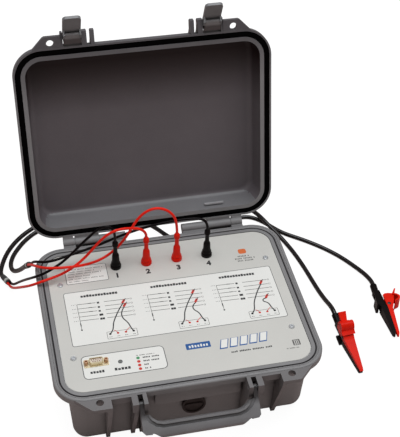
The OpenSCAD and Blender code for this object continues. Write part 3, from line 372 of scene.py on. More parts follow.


# Reach and depth of the painted shade in the creases, and painted shade along z: a painted shadow low on the
# hooks and high on the handle arms, and painted shade over the top of the lid and of the lid's hollow
CREASE_SHADE_REACH = (0.014, 0.3)
HOOK_Z = max(v[2] for v in nodes["left_latch_hook"].bound_box)
HOOK_LOW_SHADOW = (HOOK_Z - 0.009, HOOK_Z - 0.006, (0.35, 0.29, 0.29))
ARM_TOP_SHADOW = (BASE_H * MM - 0.014, BASE_H * MM - 0.019, (0.2, 0.18, 0.18))
LID_TOP_Z = max(v[2] for v in nodes["lid_shell"].bound_box)
LID_TOP_SHADE = (LID_TOP_Z - 0.015, LID_TOP_Z - 0.085, (0.42, 0.4, 0.42))
HOLLOW_TOP_SHADOW = (LID_TOP_Z - 0.06, LID_TOP_Z - 0.128, (0.12, 0.05, 0.05))

# Name, colour, roughness, spread, grain, patches and bump
CASE = moulded("case_plastic", (0.24, 0.234, 0.236), 0.52, 0.09, 1400, 14, 0.4, painted_crease_shade=CREASE_SHADE_REACH)
# Paler, glossier copy for the case's rounded edges: painted highlight
CASE_EDGE_HIGHLIGHT = moulded("case_plastic_edge_highlight", (0.28, 0.28, 0.285), 0.42, 0.09, 1400, 14, 0.2, painted_crease_shade=CREASE_SHADE_REACH)
# Darker copy of the case plastic for the front fittings: painted shade in the slots between them
FITTING_SHADED = moulded("fitting_plastic_shaded", (0.165, 0.155, 0.157), 0.52, 0.09, 1400, 14, 0.4, painted_crease_shade=CREASE_SHADE_REACH)
# The lid's copy of the case plastic, with painted shade over its top
LID_SHADED = moulded("lid_plastic", (0.24, 0.234, 0.238), 0.52, 0.09, 1400, 14, 0.4, painted_crease_shade=CREASE_SHADE_REACH, painted_height_shade=LID_TOP_SHADE)
# Paler, glossier copy for the lid's rounded edges: painted highlight
LID_EDGE_HIGHLIGHT = moulded("lid_plastic_edge_highlight", (0.28, 0.28, 0.285), 0.42, 0.09, 1400, 14, 0.2, painted_crease_shade=CREASE_SHADE_REACH,
                   painted_height_shade=LID_TOP_SHADE)
# Darker copy of the case plastic inside the lid's hollow: painted shade
HOLLOW_SHADED = moulded("case_plastic_inside_shaded", (0.145, 0.127, 0.136), 0.55, 0.09, 1400, 9, 0.4, level=0.35,
                 painted_height_shade=HOLLOW_TOP_SHADOW)
# Paler, cooler copy for the wall at the hollow's foot, which faces up: painted light
HOLLOW_FOOT_LIT = moulded("case_plastic_foot_lit", (0.2, 0.195, 0.203), 0.45, 0.09, 1400, 9, 0.3)
# Paler than the case plastic: painted highlight on the bar
BARE_BAR_HIGHLIGHT = moulded("lid_bare_bar", (0.42, 0.41, 0.42), 0.45, 0.09, 1400, 20, 0.3)
LEVER = moulded("lever_plastic", (0.19, 0.188, 0.193), 0.42, 0.1, 1400, 30, 0.25)
HOOK = moulded("hook_plastic", (0.2, 0.19, 0.192), 0.5, 0.12, 1200, 40, 0.25, painted_height_shade=HOOK_LOW_SHADOW)
HANDLE = moulded("handle_plastic", (0.2, 0.195, 0.2), 0.42, 0.08, 1400, 20, 0.25, painted_crease_shade=CREASE_SHADE_REACH,
                 painted_height_shade=ARM_TOP_SHADOW)
# Paler, glossier copy for the handle's rounded edges: painted highlight
HANDLE_EDGE_HIGHLIGHT = moulded("handle_plastic_edge_highlight", (0.3, 0.3, 0.31), 0.35, 0.08, 1400, 20, 0.15, painted_height_shade=ARM_TOP_SHADOW)
SHADE = moulded("rim_groove_shade", (0.02, 0.017, 0.019), 0.6, 0.1, 1400, 20, 0.2, level=0.2)
VALVE = moulded("valve_plastic", (0.026, 0.017, 0.015), 0.5, 0.2, 900, 60, 0.3, level=0.3)
RUBBER = moulded("gasket_rubber", (0.0015, 0.0013, 0.0014), 0.7, 0.2, 1600, 40, 0.35, level=0.3, ior=1.12)
PLATE = moulded("panel_metal", (0.6, 0.6, 0.59), 0.4, 0.04, 700, 20, 0.1, metal=0.7, stretch=(1, 30, 1))
OVERLAY = moulded("panel_film", (0.655, 0.64, 0.6), 0.5, 0.035, 1700, 9, 0.18, 0.0001)
STEEL = moulded("screw_steel", (0.72, 0.74, 0.76), 0.36, 0.08, 900, 90, 0.2, metal=0.7, stretch=(1, 1, 12))
BLACK = moulded("socket_black", (0.006, 0.004, 0.004), 0.4, 0.15, 1200, 60, 0.08, level=0.5, ior=1.2)
RED = moulded("socket_red", (0.86, 0.015, 0.004), 0.36, 0.08, 1200, 60, 0.05, level=0.4, ior=1.25)
BLACK_LEAD = moulded("lead_black", (0.004, 0.002, 0.0025), 0.34, 0.2, 1500, 40, 0.2, level=0.4, ior=1.25)
RED_LEAD = moulded("cable_red", (0.9, 0.018, 0.006), 0.36, 0.1, 1500, 40, 0.25, level=0.4, ior=1.3)
BLACK_CABLE = moulded("cable_black", (0.006, 0.0035, 0.004), 0.26, 0.2, 1500, 40, 0.15, level=0.6)
CLIP_PIN = moulded("clip_pin_steel", (0.06, 0.035, 0.035), 0.4, 0.1, 900, 90, 0.2, metal=0.3)
SLEEVE = moulded("sleeve_shrink", (0.05, 0.05, 0.053), 0.55, 0.2, 900, 90, 0.5)
BAND = moulded("sleeve_marker", (0.55, 0.55, 0.53), 0.5, 0.08, 900, 90, 0.2)
GOLD = moulded("connector_plating", (0.86, 0.74, 0.5), 0.34, 0.1, 900, 120, 0.15, metal=0.75)
COPPER = moulded("jack_screw_plating", (0.6, 0.36, 0.22), 0.38, 0.15, 900, 90, 0.2, metal=0.8)
INSERT = moulded("connector_insert", (0.78, 0.68, 0.56), 0.5, 0.06, 900, 60, 0.15)
PIN = moulded("connector_pin", (0.33, 0.12, 0.07), 0.4, 0.15, 900, 90, 0.15)
LAMP_RING = moulded("lamp_bezel_plastic", (0.13, 0.13, 0.135), 0.45, 0.1, 900, 60, 0.2)
BOARD = moulded("board_laminate", (0.02, 0.13, 0.05), 0.35, 0.15, 500, 30, 0.1)
SINK = moulded("sink_aluminium", (0.6, 0.61, 0.63), 0.4, 0.06, 700, 20, 0.15, metal=0.9, stretch=(1, 30, 1))
PAPER = ink("print_white", (0.87, 0.86, 0.82), 0.02, 12)
INK_GREY = ink("print_grey", (0.13, 0.13, 0.13), 0.08, 30)
INK_PALE = ink("print_pale_grey", (0.11, 0.105, 0.1), 0.05, 30)
INK_DARK = ink("print_dark", (0.022, 0.022, 0.024), 0.12, 30)
INK_RED = ink("print_red", (0.66, 0.035, 0.02), 0.1, 30)
INK_BLUE = ink("print_blue", (0.006, 0.095, 0.33), 0.1, 30)
INK_ORANGE = ink("print_orange", (0.7, 0.15, 0.035), 0.08, 30)
INK_GREEN = ink("print_green", (0.06, 0.3, 0.12), 0.1, 30)


def lamp_lens():
    """Clear smoked plastic: glossy, unevenly tinted, and it lets part of the light through."""
    material, tree, shader, add = node_tree("lamp_lens")
    place = add("ShaderNodeTexCoord").outputs["Object"]
    tint = ramp(add, noise(add, place, 700.0), (0.3, 0.32, 0.29), (0.5, 0.52, 0.48), 0.3, 0.7)
    tree.links.new(tint, shader.inputs["Base Color"])
    shader.inputs["Roughness"].default_value = 0.12
    shader.inputs["Transmission Weight"].default_value = 0.6
    return material


LENS = lamp_lens()

FINISHES = {
    "case_grey": CASE, "lever_grey": LEVER, "hook_grey": HOOK, "handle_grey": HANDLE, "valve_black": VALVE,
    "seal_rubber": RUBBER, "panel_aluminium": PLATE, "overlay_print": OVERLAY, "steel": STEEL,
    "black_plastic": BLACK, "red_plastic": RED, "black_cable": BLACK_CABLE, "red_cable": RED_LEAD,
    "sleeve_grey": SLEEVE, "connector_gold": GOLD, "lamp_clear": LENS, "board_green": BOARD,
    "sink_metal": SINK,
}
SLOT_OF = {part["node"]: part["material_slot"] for part in frame["record"]["subparts"]}
for cad_node, cad_slot in SLOT_OF.items():
    plain = nodes[cad_node].data
    plain.materials.clear()
    plain.materials.append(FINISHES[cad_slot])
nodes["serial_jack_screws"].data.materials[0] = COPPER
for n in (1, 2):
    nodes[f"clip_{n}_pivot"].data.materials[0] = CLIP_PIN


# Leads and cables, along routes through the same points as their plain solids


def heading_way(heading, pitch):
    """Unit vector at a heading round the upright, tipped down by the pitch."""
    flat = np.cos(pitch)
    return np.array([np.cos(heading) * flat, np.sin(heading) * flat, -np.sin(pitch)])


# Start and direction of each sleeve, and the direction and upper side of each clip: clip 2 lies on its side
SLEEVE_A = (np.array([-175.5, 132, 86.5]), unit([-6, 18, -20]))
SLEEVE_B = (np.array([-205.4, 180, 10]), unit([-11, 28, -6.2]))
CLIP_1_WAY = heading_way(CLIP_1_HEADING, CLIP_1_PITCH)
CLIP_1_ABOVE = heading_way(CLIP_1_HEADING, CLIP_1_PITCH - np.pi / 2)
CLIP_2_WAY = heading_way(CLIP_2_HEADING, 0)
CLIP_2_ABOVE = heading_way(CLIP_2_HEADING + np.pi / 2, 0)


def out_of_plug(n):
    """Two points that lead a route straight up out of a plug."""
    return [(SOCKET_XS[n], SOCKET_Y, PLUG_TOP), (SOCKET_XS[n], SOCKET_Y, PLUG_TOP + 5)]


def into_sleeve(sleeve, side):
    """Two points that lead a route into a sleeve, beside its other lead."""
    start, way = sleeve
    at = start + side * (LEAD_D / 2 + 0.1) * unit([way[1], -way[0], 0])
    return [at - 6 * way, at]


def out_of_sleeve(sleeve):
    """Two points that lead a cable straight out of a sleeve."""
    start, way = sleeve
    return [start + SLEEVE_LEN * way, start + (SLEEVE_LEN + 8) * way]


def into_end(at, way):
    """Two points that lead a cable straight into its clip."""
    return [at - 8 * way, at]


ROUTE_1 = out_of_plug(0) + [
    (-63, 86, 167), (-65.5, 86, 174.5), (-71, 87, 178.5), (-78, 89, 177.5), (-86, 91, 171), (-94, 93, 161),
    (-107, 94, 147), (-120, 92, 134), (-133, 88, 125), (-147, 83, 120), (-159, 79, 117), (-170, 81, 111.5),
    (-178.5, 93, 98), (-185, 120, 70), (-192, 150, 38), (-198, 165, 20),
] + into_sleeve(SLEEVE_B, 1)
ROUTE_2 = out_of_plug(1) + [
    (-24, 86.5, 164), (-32, 86, 170), (-47, 83, 175), (-60, 80.5, 177), (-72, 80.5, 172), (-83, 82, 160),
    (-93, 84, 145), (-104, 86, 129), (-117, 81, 122), (-130, 77, 117), (-143, 73, 115), (-156, 70, 114),
    (-169, 68, 112), (-180, 76, 101), (-189, 98, 79), (-197, 128, 49), (-203, 156, 23),
] + into_sleeve(SLEEVE_B, -1)
ROUTE_3 = out_of_plug(2) + [
    (20, 88, 172), (16, 89, 183), (8, 91, 191), (-3, 93, 195), (-14, 94, 193), (-24, 95, 186), (-32, 95, 176),
    (-39, 94, 164), (-46, 93, 152), (-54, 94.5, 138), (-65, 95, 125), (-80, 91, 118), (-98, 84, 119),
    (-117, 76, 125), (-135, 74, 128), (-151, 77, 127), (-163, 87, 121), (-171, 106, 109),
] + into_sleeve(SLEEVE_A, -1)
ROUTE_4 = out_of_plug(3) + [
    (60.5, 88, 165), (54, 90, 169.5), (37, 93, 169), (19, 96, 166), (-1, 98, 162), (-21, 100, 157),
    (-40, 101, 151), (-58, 102, 144), (-75, 102, 137), (-92, 102, 131), (-109, 101, 127), (-127, 99, 124),
    (-143, 97, 121), (-156, 99, 118), (-166, 109, 112), (-171, 118.5, 103.5),
] + into_sleeve(SLEEVE_A, 1)
ROUTE_A = out_of_sleeve(SLEEVE_A) + [
    (-186, 168, 45), (-192, 186, 25), (-198, 204, 9), (-200, 222, 3.5), (-196, 238, 3.5), (-187, 254, 3.5),
    (-173, 273, 3.5), (-152, 291, 3.5), (-118, 304, 3.5), (-70, 308, 3.5), (-25, 301, 3.5), (8, 284, 3.5),
    (29, 260, 3.5), (42, 236, 3.5), (62, 221, 3.5), (88, 219, 3.5), (112, 230, 3.5), (130, 249, 3.5),
    (150, 262, 3.5), (174, 263, 3.5), (192, 246, 3.5), (203, 230, 3.5), (215, 214, 3.5), (237, 198, 3.5),
    (262, 176, 3.5), (285, 149, 4), (300, 120, 6), (309, 98, 8.8),
] + into_end(CLIP_2_AT, CLIP_2_WAY)
ROUTE_B = out_of_sleeve(SLEEVE_B) + [
    (-214, 218, 3.5), (-207, 240, 3.5), (-196, 261, 3.5), (-180, 281, 3.5), (-155, 302, 3.5),
    (-112, 318, 3.5), (-55, 326, 3.5), (5, 326, 3.5), (65, 320, 3.5), (115, 308, 3.5), (152, 297, 3.5),
    (172, 281, 7.5), (182, 262, 12), (189, 244, 13), (196, 228, 10.5), (205, 211, 7), (212.5, 193, 4.5),
    (218, 176, 3.5), (222.5, 155, 3.5), (227, 128, 3.5), (231, 93, 3.5), (234, 63, 8), (236, 44, 14.5),
] + into_end(CLIP_1_AT, CLIP_1_WAY)


def lay_cable(name, node, route, diameter, up, finish):
    """A round section carried along the smooth route, in place of its plain solid."""
    path = smooth(route)
    cable = carried(disc_outline(0, 0, diameter / 2), path, up)
    piece = make(name, [cable], "base", finish, creases=60)
    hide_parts(node)
    return piece


# Plugs, turned, in place of their plain solids

# Radius and height above the panel: shroud in the socket, flared foot, long grip, waist and ringed collar
PLUG_PROFILE = (
    (0, -20), (4.05, -20), (4.1, 5), (5.6, 5.05), (6.15, 5.4), (6.3, 6.2), (6.3, 8.0), (6.1, 8.9), (5.5, 9.9),
    (5.15, 11.2), (5.0, 14), (4.8, 19.5), (4.5, 22.6), (3.9, 24.2), (3.1, 25.4), (2.9, 27), (2.75, 33),
    (2.8, 37.4), (3.2, 38.3), (3.9, 39.2), (4.0, 39.6), (4.0, 40.6), (3.7, 40.9), (3.7, 41.3), (4.0, 41.6),
    (4.0, 42.6), (3.7, 42.9), (3.7, 43.3), (4.0, 43.6), (3.95, 44.2), (3.3, 45.6), (2.4, 47.2), (2.0, 47.4),
    (0, 47.4),
)
PLUG_LOOKS = ((BLACK, "black_plastic"), (RED, "red_plastic"), (RED, "red_plastic"), (BLACK, "black_plastic"))


def turn_plug(n, colour, slot):
    """One plug stood in its socket: the profile turned round the socket's axis."""
    place = (SOCKET_XS[n - 1], SOCKET_Y, PANEL_TOP)
    piece = make(f"plug_{n}_grip", [turned(PLUG_PROFILE, place)], "base", colour, creases=50)
    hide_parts(f"plug_{n}")
    return piece


plugs = [turn_plug(n, *look) for n, look in enumerate(PLUG_LOOKS, 1)]


# Sleeves where two leads join a cable


def shrink_sleeve(name, node, sleeve):
    """Shrunk tube over the join, turned: a tenth slimmer over its last 5, with ripples 0.12 deep.

    Radius = half the diameter * (1 - 0.1 taper^2) - 0.12 (1 + cos 1.1 h) / 2 at height h.
    """
    start, way = sleeve
    h = np.linspace(0, SLEEVE_LEN, 24)
    taper = np.clip((h - (SLEEVE_LEN - 5)) / 5, 0, 1)
    r = SLEEVE_D / 2 * (1 - 0.1 * taper**2) - 0.12 * (1 + np.cos(1.1 * h)) / 2
    profile = np.vstack([[0, 0], [r[0] - 0.5, 0], np.column_stack([r, h]), [0, SLEEVE_LEN]])
    piece = make(name, [turned(profile, start, way, 32)], "base", SLEEVE, creases=50)
    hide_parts(node)
    return piece


def marker_band(name, sleeve, low, high):
    """Pale marker wrapped round a sleeve, turned, with its two edges cut back."""
    start, way = sleeve
    r, cut = SLEEVE_D / 2 + 0.25, 0.3
    profile = [(0, low), (r - cut, low), (r, low + cut), (r, high - cut), (r - cut, high), (0, high)]
    return make(name, [turned(profile, start, way, 32)], "base", BAND, creases=50)


sleeve_a = shrink_sleeve("sleeve_a_shrink", "split_sleeve_a", SLEEVE_A)
sleeve_b = shrink_sleeve("sleeve_b_shrink", "split_sleeve_b", SLEEVE_B)
band_b = marker_band("sleeve_b_band", SLEEVE_B, 3, 8)
band_a = marker_band("sleeve_a_band", SLEEVE_A, 4, 8)


# Softened copies of the moulded parts


MERGE_REACH = 2e-6
FLAT_ANGLE, EDGE_ANGLE = 0.6, 38


def softened(node, width, segments=2, edge=None, base=None, reshape=None):
    """A merged copy of a node with its sharp edges rounded over, which stands for the node.

    The base finish covers it, and the edge finish its rounded edges; each edge finish here is a paler,
    glossier copy of the base finish, a painted highlight. Reshape is a function of the points in millimetres,
    which are moved before the edges are rounded.
    """
    source = nodes[node]
    mesh = source.data.copy()
    mesh.name = f"{node}_moulding"
    piece = bpy.data.objects.new(mesh.name, mesh)
    bpy.context.scene.collection.objects.link(piece)
    if mesh.has_custom_normals:
        mesh.attributes.remove(mesh.attributes["custom_normal"])
    work = bmesh.new()
    work.from_mesh(mesh)
    bmesh.ops.remove_doubles(work, verts=work.verts, dist=MERGE_REACH)
    bmesh.ops.dissolve_limit(work, angle_limit=np.radians(FLAT_ANGLE), verts=work.verts, edges=work.edges,
                             use_dissolve_boundaries=False)
    work.to_mesh(mesh)
    work.free()
    if reshape is not None:
        points = np.empty(3 * len(mesh.vertices))
        mesh.vertices.foreach_get("co", points)
        mesh.vertices.foreach_set("co", (reshape(points.reshape(-1, 3) / MM) * MM).ravel())
    mesh.shade_smooth()
    if base is not None:
        mesh.materials[0] = base
    if edge is not None:
        mesh.materials.append(edge)
    bevel = piece.modifiers.new("rounded_edges", "BEVEL")
    bevel.width = width * MM
    bevel.segments = segments
    bevel.limit_method = "ANGLE"
    bevel.angle_limit = np.radians(EDGE_ANGLE)
    bevel.harden_normals = True
    bevel.material = 1 if edge is not None else -1
    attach(piece, source["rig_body"])
    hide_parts(node)
    return piece


def eased(x, start, length):
    """3 t^2 - 2 t^3, where t goes from 0 at the start to 1 after the length."""
    t = np.clip((x - start) / length, 0, 1)
    return t * t * (3 - 2 * t)


def wider_lip(points):
    """Widens a hook by 0.26 below its pin, about the middle of its latch, to fill the gap beside it."""
    low = 1 - eased(points[:, 2], HOOK_Z / MM - 10, 3)
    middle = np.sign(points[:, 0]) * LATCH_X
    moved = points.copy()
    moved[:, 0] = middle + (points[:, 0] - middle) * (1 + 0.26 * low)
    return moved


def clip_axes(along, above):
    """A clip's own axes as columns: along it, above it and across it."""
    return np.column_stack([along, above, np.cross(along, above)])


def clip_rivets(n, at, along, above):
    """Low dark rivet heads on both ends of a clip's pivot, turned."""
    axes = clip_axes(along, above)
    profile = [(0, 0), (2.6, 0), (2.6, 0.8), (2.0, 1.2), (0, 1.2)]
    heads = []
    for way in (-1, 1):
        middle = axes @ np.array([*CLIP_PIVOT, CLIP_HALF_WIDTH * way]) + at
        heads.append(turned(profile, middle, axes[:, 2] * way, 24))
    make(f"clip_{n}_rivets", heads, nodes[f"clip_{n}_body"]["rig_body"], CLIP_PIN)


def slimmer_jaw(at, along, above):
    """For a clip: shortens the curled thumb plate and the tab on it, widens the tab, and slims the jaw's tip.

    Each move is a share of a clip coordinate, eased in: the plate and its tab from 19 to 23 above, the tip
    from 46 to 60 along, and the tab, which lies within 4.2 of the middle, up to 22 to 26 along.
    """
    axes = clip_axes(along, above)

    def moved(points):
        """The jaw's points, moved along the clip's own axes."""
        local = (points - at) @ axes
        plate = eased(local[:, 1], 19.0, 4.0)
        local[:, 0] -= 0.37 * plate * (local[:, 0] - 25.0)
        local[:, 2] *= 1 - 0.15 * eased(local[:, 0], 46.0, 14.0)
        tab = np.abs(local[:, 2]) < 4.2
        local[tab, 2] *= 1 + 0.4 * (1 - eased(local[tab, 0], 22.0, 4.0))
        return local @ axes.T + at

    return moved


softened("base_shell", 0.5, edge=CASE_EDGE_HIGHLIGHT)
lid_moulding = softened("lid_shell", 0.5, edge=LID_EDGE_HIGHLIGHT, base=LID_SHADED)
for side in ("left", "right"):
    softened(f"{side}_front_fittings", 0.5, edge=CASE_EDGE_HIGHLIGHT, base=FITTING_SHADED)
softened("handle", 1.6, 3, edge=HANDLE_EDGE_HIGHLIGHT)
for side in ("left", "right"):
    softened(f"{side}_latch_lever", 0.5)
    softened(f"{side}_latch_hook", 0.5, reshape=wider_lip)
CLIPS = ((1, CLIP_1_AT, CLIP_1_WAY, CLIP_1_ABOVE), (2, CLIP_2_AT, CLIP_2_WAY, CLIP_2_ABOVE))
for clip in CLIPS:
    clip_rivets(*clip)
clip_parts = {
    n: [softened(f"clip_{n}_body", 0.6), softened(f"clip_{n}_jaw", 0.4, reshape=slimmer_jaw(*place)),
        nodes[f"clip_{n}_pivot"], nodes[f"clip_{n}_spring"]]
    for n, *place in CLIPS
}

# Each lead with its real length and its end pieces, then each cable with its clip's pieces
for n, route, length, sleeve_parts in (
        (1, ROUTE_1, 0.300, [sleeve_b, band_b]), (2, ROUTE_2, 0.344, [sleeve_b, band_b]),
        (3, ROUTE_3, 0.315, [sleeve_a, band_a]), (4, ROUTE_4, 0.289, [sleeve_a, band_a])):
    lay_cable(f"lead_{n}_flex", f"lead_{n}", route, LEAD_D, (0, 1, 0),
              BLACK_LEAD if n in (1, 4) else RED_LEAD)
for letter, clip, route, length, sleeve_parts in (
        ("a", 2, ROUTE_A, 0.802, [sleeve_a, band_a]), ("b", 1, ROUTE_B, 0.733, [sleeve_b, band_b])):
    lay_cable(f"cable_{letter}_sheath", f"cable_{letter}", route, CABLE_D, (0, 0, 1),
              BLACK_CABLE)


def finish_hollow(piece):
    """Gives the lid's hollow a darker copy of the case plastic, as painted shade, and the wall at its foot,
    next to the hinge, a paler and cooler one, as painted light.

    The faces are turned back to the shut lid. There the hollow is a rounded box 36 deep above the parting
    plane, 15.4 in from the rim's edge, and its foot is the wall at 21.5 or less from the back edge.
    """
    mesh = piece.data
    centres = np.empty(3 * len(mesh.polygons))
    mesh.polygons.foreach_get("center", centres)
    shut = on_open_lid(centres.reshape(-1, 3) / MM, -1)
    normals = np.empty(3 * len(mesh.polygons))
    mesh.polygons.foreach_get("normal", normals)
    outward = on_open_lid(normals.reshape(-1, 3), -1, turn_only=True)
    inset = np.minimum(HALF_W - np.abs(shut[:, 0]), HALF_D - np.abs(shut[:, 1]))
    depth = shut[:, 2] - BASE_H
    inner = (inset > 15.4) & (depth > 3.0) & (depth < 36.5) & (outward[:, 2] < 0.5)
    foot = inner & (shut[:, 1] > HALF_D - 21.5)
    slots = np.empty(len(mesh.polygons), dtype=np.int32)
    mesh.polygons.foreach_get("material_index", slots)
    mesh.materials.append(HOLLOW_SHADED)
    mesh.materials.append(HOLLOW_FOOT_LIT)
    slots[inner] = len(mesh.materials) - 2
    slots[foot] = len(mesh.materials) - 1
    mesh.polygons.foreach_set("material_index", slots)


finish_hollow(lid_moulding)


# Gasket, bare bar, and painted shade at the rim and the hinge


def rim_path(inset, height, steps=16):
    """Line round the rim, a distance in from its edge, drawn with the lid shut."""
    half_w, half_d = HALF_W - inset, HALF_D - inset
    line = rounded_outline(-half_w, -half_d, half_w, half_d, RIM_R - inset, steps)
    return np.column_stack([line, np.full(len(line), height)])


def make_gasket():
    """Flat-backed section carried round the lid's rim, its face raised by arch * cos(pi x / width)."""
    width, thick, arch = 7.5, 2.9, 0.75
    x = np.linspace(-width / 2, width / 2, 9)
    face = np.column_stack([x, -arch * np.cos(np.pi * x / width)])
    profile = np.vstack([face, [(width / 2, thick), (-width / 2, thick)]])
    points, faces = carried(profile, rim_path(6.2, BASE_H + 1.0), (0, 0, 1), closed=True)
    piece = make("gasket_seal", [(on_open_lid(points), faces)], "lid", RUBBER)
    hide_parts("lid_gasket")


def rim_shade():
    """Dark skins either side of the base's groove: over the tongue's inner shoulder, and on the ledge's edge.

    The first is a quarter arc about the centre of the shoulder, which has a radius of 2.5 and is 5 in from
    the rim's edge. The second is a flat strip 1.6 wide.
    """
    a = np.linspace(1.45, 0.1, 8)
    arc = np.column_stack([np.cos(a), np.sin(a)])
    skin = np.vstack([2.58 * arc, 2.3 * arc[::-1]])
    over_tongue = carried(skin, rim_path(5.0, BASE_H - 2.5), (0, 0, 1), closed=True)
    strip = [(0.0, -0.1), (1.6, -0.1), (1.6, 0.06), (0.0, 0.06)]
    on_ledge = carried(strip, rim_path(9.0, PANEL_TOP + 0.4), (0, 0, 1), closed=True)
    make("rim_groove_shade", [over_tongue, on_ledge], "base", SHADE)


def bare_bar():
    """A small raised bar, 27 by 4.2, on the wall at the foot of the lid's hollow, near the right hinge. It is
    paler
    than the case plastic: a painted highlight.
    """
    points, faces = slab(rounded_outline(76.0, 8.6, 103.0, 12.8, 1.0), 0, 1.8)
    shut = np.column_stack([points[:, 0], HALF_D - 17.6 - points[:, 2], BASE_H + points[:, 1]])
    make("lid_bare_bar", [(on_open_lid(shut), faces)], "lid", BARE_BAR_HIGHLIGHT)


def hinge_shade():
    """A dark ledge 2 thick under each lid knuckle, behind the base, that closes the slits beside it with
    painted shade.
    """
    near, far = HALF_D - 1.2, HINGE_Y + 4.5
    outlines = [rounded_outline(x - 23, near, x + 23, far, 1.0) for x in HINGE_XS]
    ledges = [slab(outline, BASE_H - 14, BASE_H - 12) for outline in outlines]
    make("hinge_shade", ledges, "base", SHADE)


make_gasket()
rim_shade()
bare_bar()
hinge_shade()


# Serial connector's insert with its nine pins, and the ring round the lamp


def connector_insert():
    """Pale block inside the shell, and nine turned pins in rows of five and four, 2.7 apart."""
    half_w, half_d, top = 7.6, 2.9, PANEL_TOP + 4.8
    outline = rounded_outline(SERIAL_X - half_w, SERIAL_Y - half_d, SERIAL_X + half_w, SERIAL_Y + half_d, 1.0)
    piece = make("connector_block", [slab(outline, PANEL_TOP - 9, top)], "base", INSERT)
    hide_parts("serial_insert")
    pitch, row = 2.7, 1.4
    places = [((k - 2) * pitch, row) for k in range(5)] + [((k - 1.5) * pitch, -row) for k in range(4)]
    shape = [(0, 0), (0.62, 0), (0.62, 0.7), (0.4, 0.95), (0, 0.95)]
    pins = [turned(shape, (SERIAL_X + x, SERIAL_Y + y, top - 0.1), sides=12) for x, y in places]
    make("connector_pins", pins, "base", PIN)


def lamp_ring():
    """Small dark ring round the lamp, turned: stem, foot on the panel, rounded shoulder, step to the lens."""
    shape = [(0, -6.7), (2.5, -6.7), (2.5, 0), (2.9, 0.02), (2.85, 0.5), (2.4, 0.9), (1.75, 0.9),
             (1.55, 0.6), (1.55, -0.6), (0, -0.6)]
    ring = turned(shape, (LAMP_X, LAMP_Y, PANEL_TOP), sides=40)
    piece = make("lamp_ring", [ring], "base", LAMP_RING, creases=50)
    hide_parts("lamp_bezel")


connector_insert()
lamp_ring()


# Panel printing: plates and lines about a tenth of a millimetre thick on the overlay

SHEET_LOW, SHEET_HIGH = PANEL_TOP - 0.02, PANEL_TOP + 0.05
INK_HIGH, TOP_HIGH = PANEL_TOP + 0.09, PANEL_TOP + 0.13
NO_GAPS = 99


def bar(x0, y0, x1, y1, thick, high=INK_HIGH):
    """A short flat bar from one point to another."""
    return stripe([(x0, y0), (x1, y1)], thick, SHEET_LOW, high)


def printed(name, shells, finish):
    """One piece for everything printed in one colour."""
    return make(name, shells, "base", finish)


def frame_line(x0, y0, x1, y1, r, width):
    """Thin outline of a rounded box."""
    return stripe(rounded_outline(x0, y0, x1, y1, r), width, SHEET_LOW, INK_HIGH, closed=True)


def blocks(x0, x1, y, height, seed, slope=-0.02, share=0.62, gap_every=7):
    """A row of blank blocks along a slope: cells 0.8 of the height wide, each filled by a share of its width.

    The block heights vary between 0.7 and 1 of the height, and one cell in gap_every stays empty.
    """
    draw = np.random.default_rng(seed)
    cells = max(1, int((x1 - x0) / (0.8 * height)))
    x = x0 + (np.arange(cells) + 0.5) * (x1 - x0) / cells
    tall = height * draw.uniform(0.7, 1.0, cells)
    kept = (np.arange(cells) + seed) % gap_every > 0
    wide = share * (x1 - x0) / cells
    foot = y + slope * (x - x0)
    return [stripe([(a, b), (a, b + h)], wide, SHEET_LOW, TOP_HIGH)
            for a, b, h in zip(x[kept], foot[kept], tall[kept])]


def dot(x, y, r):
    """A printed dot."""
    return slab(disc_outline(x, y, r, 16), SHEET_LOW, TOP_HIGH)


# Boxes as left, near, right and far edge, and the lines of the wiring diagrams
MAIN_BOX = (-138.6, -45.6, 141.2, 49.0)
LOW_BOX = (-131.6, -101.5, -28.0, -64.2)
WORD_BOX = (-131.4, 64.6, -75.6, 96.4)
DIAGRAM_LEFTS, CLIP_DROPS = (-138.5, -45.5, 47.5), (0.0, 10.0, 20.0)
SUPPLY_YS = (26.0, 18.2, 11.2, 3.8, -3.2)
TERMINALS, TERMINAL_Y = (49.2, 59.2, 69.3, 79.3), -32.8

sheets = [slab(rounded_outline(*MAIN_BOX, 3.0), SHEET_LOW, SHEET_HIGH),
          slab(rounded_outline(*LOW_BOX, 6.0), SHEET_LOW, SHEET_HIGH),
          slab(rounded_outline(*WORD_BOX, 2.0), SHEET_LOW, SHEET_HIGH)]
borders = [frame_line(*MAIN_BOX, 3.0, 0.8), frame_line(*LOW_BOX, 6.0, 1.0), frame_line(*WORD_BOX, 2.0, 0.8)]
fine, bold, red, drawn = [], [], [], []


def supply_line(left, k, y):
    """One supply line from left to right: three dots, a bar, blank blocks, a bar and a small ring."""
    fine.append(bar(left + 14.5, y, left + 39, y - 0.7, 0.8))
    fine.append(bar(left + 50, y - 0.9, left + 83, y - 1.8, 0.8))
    fine.extend(dot(left + x, y + 0.2, 0.5) for x in (8.0, 10.2, 12.4))
    fine.append(stripe(disc_outline(left + 85.2, y - 1.8, 1.2, 12), 0.4, SHEET_LOW, INK_HIGH, closed=True))
    if k < 3:
        bold.append(bar(left + 28.8, y - 0.3, left + 33.2, y - 0.5, 1.1))
    label_end = 43.8 if k < 3 else 46.0 + k - 3
    bold.extend(blocks(left + 40.6, left + label_end, y - 2.8, 3.6, k + 1, share=0.9, gap_every=NO_GAPS))


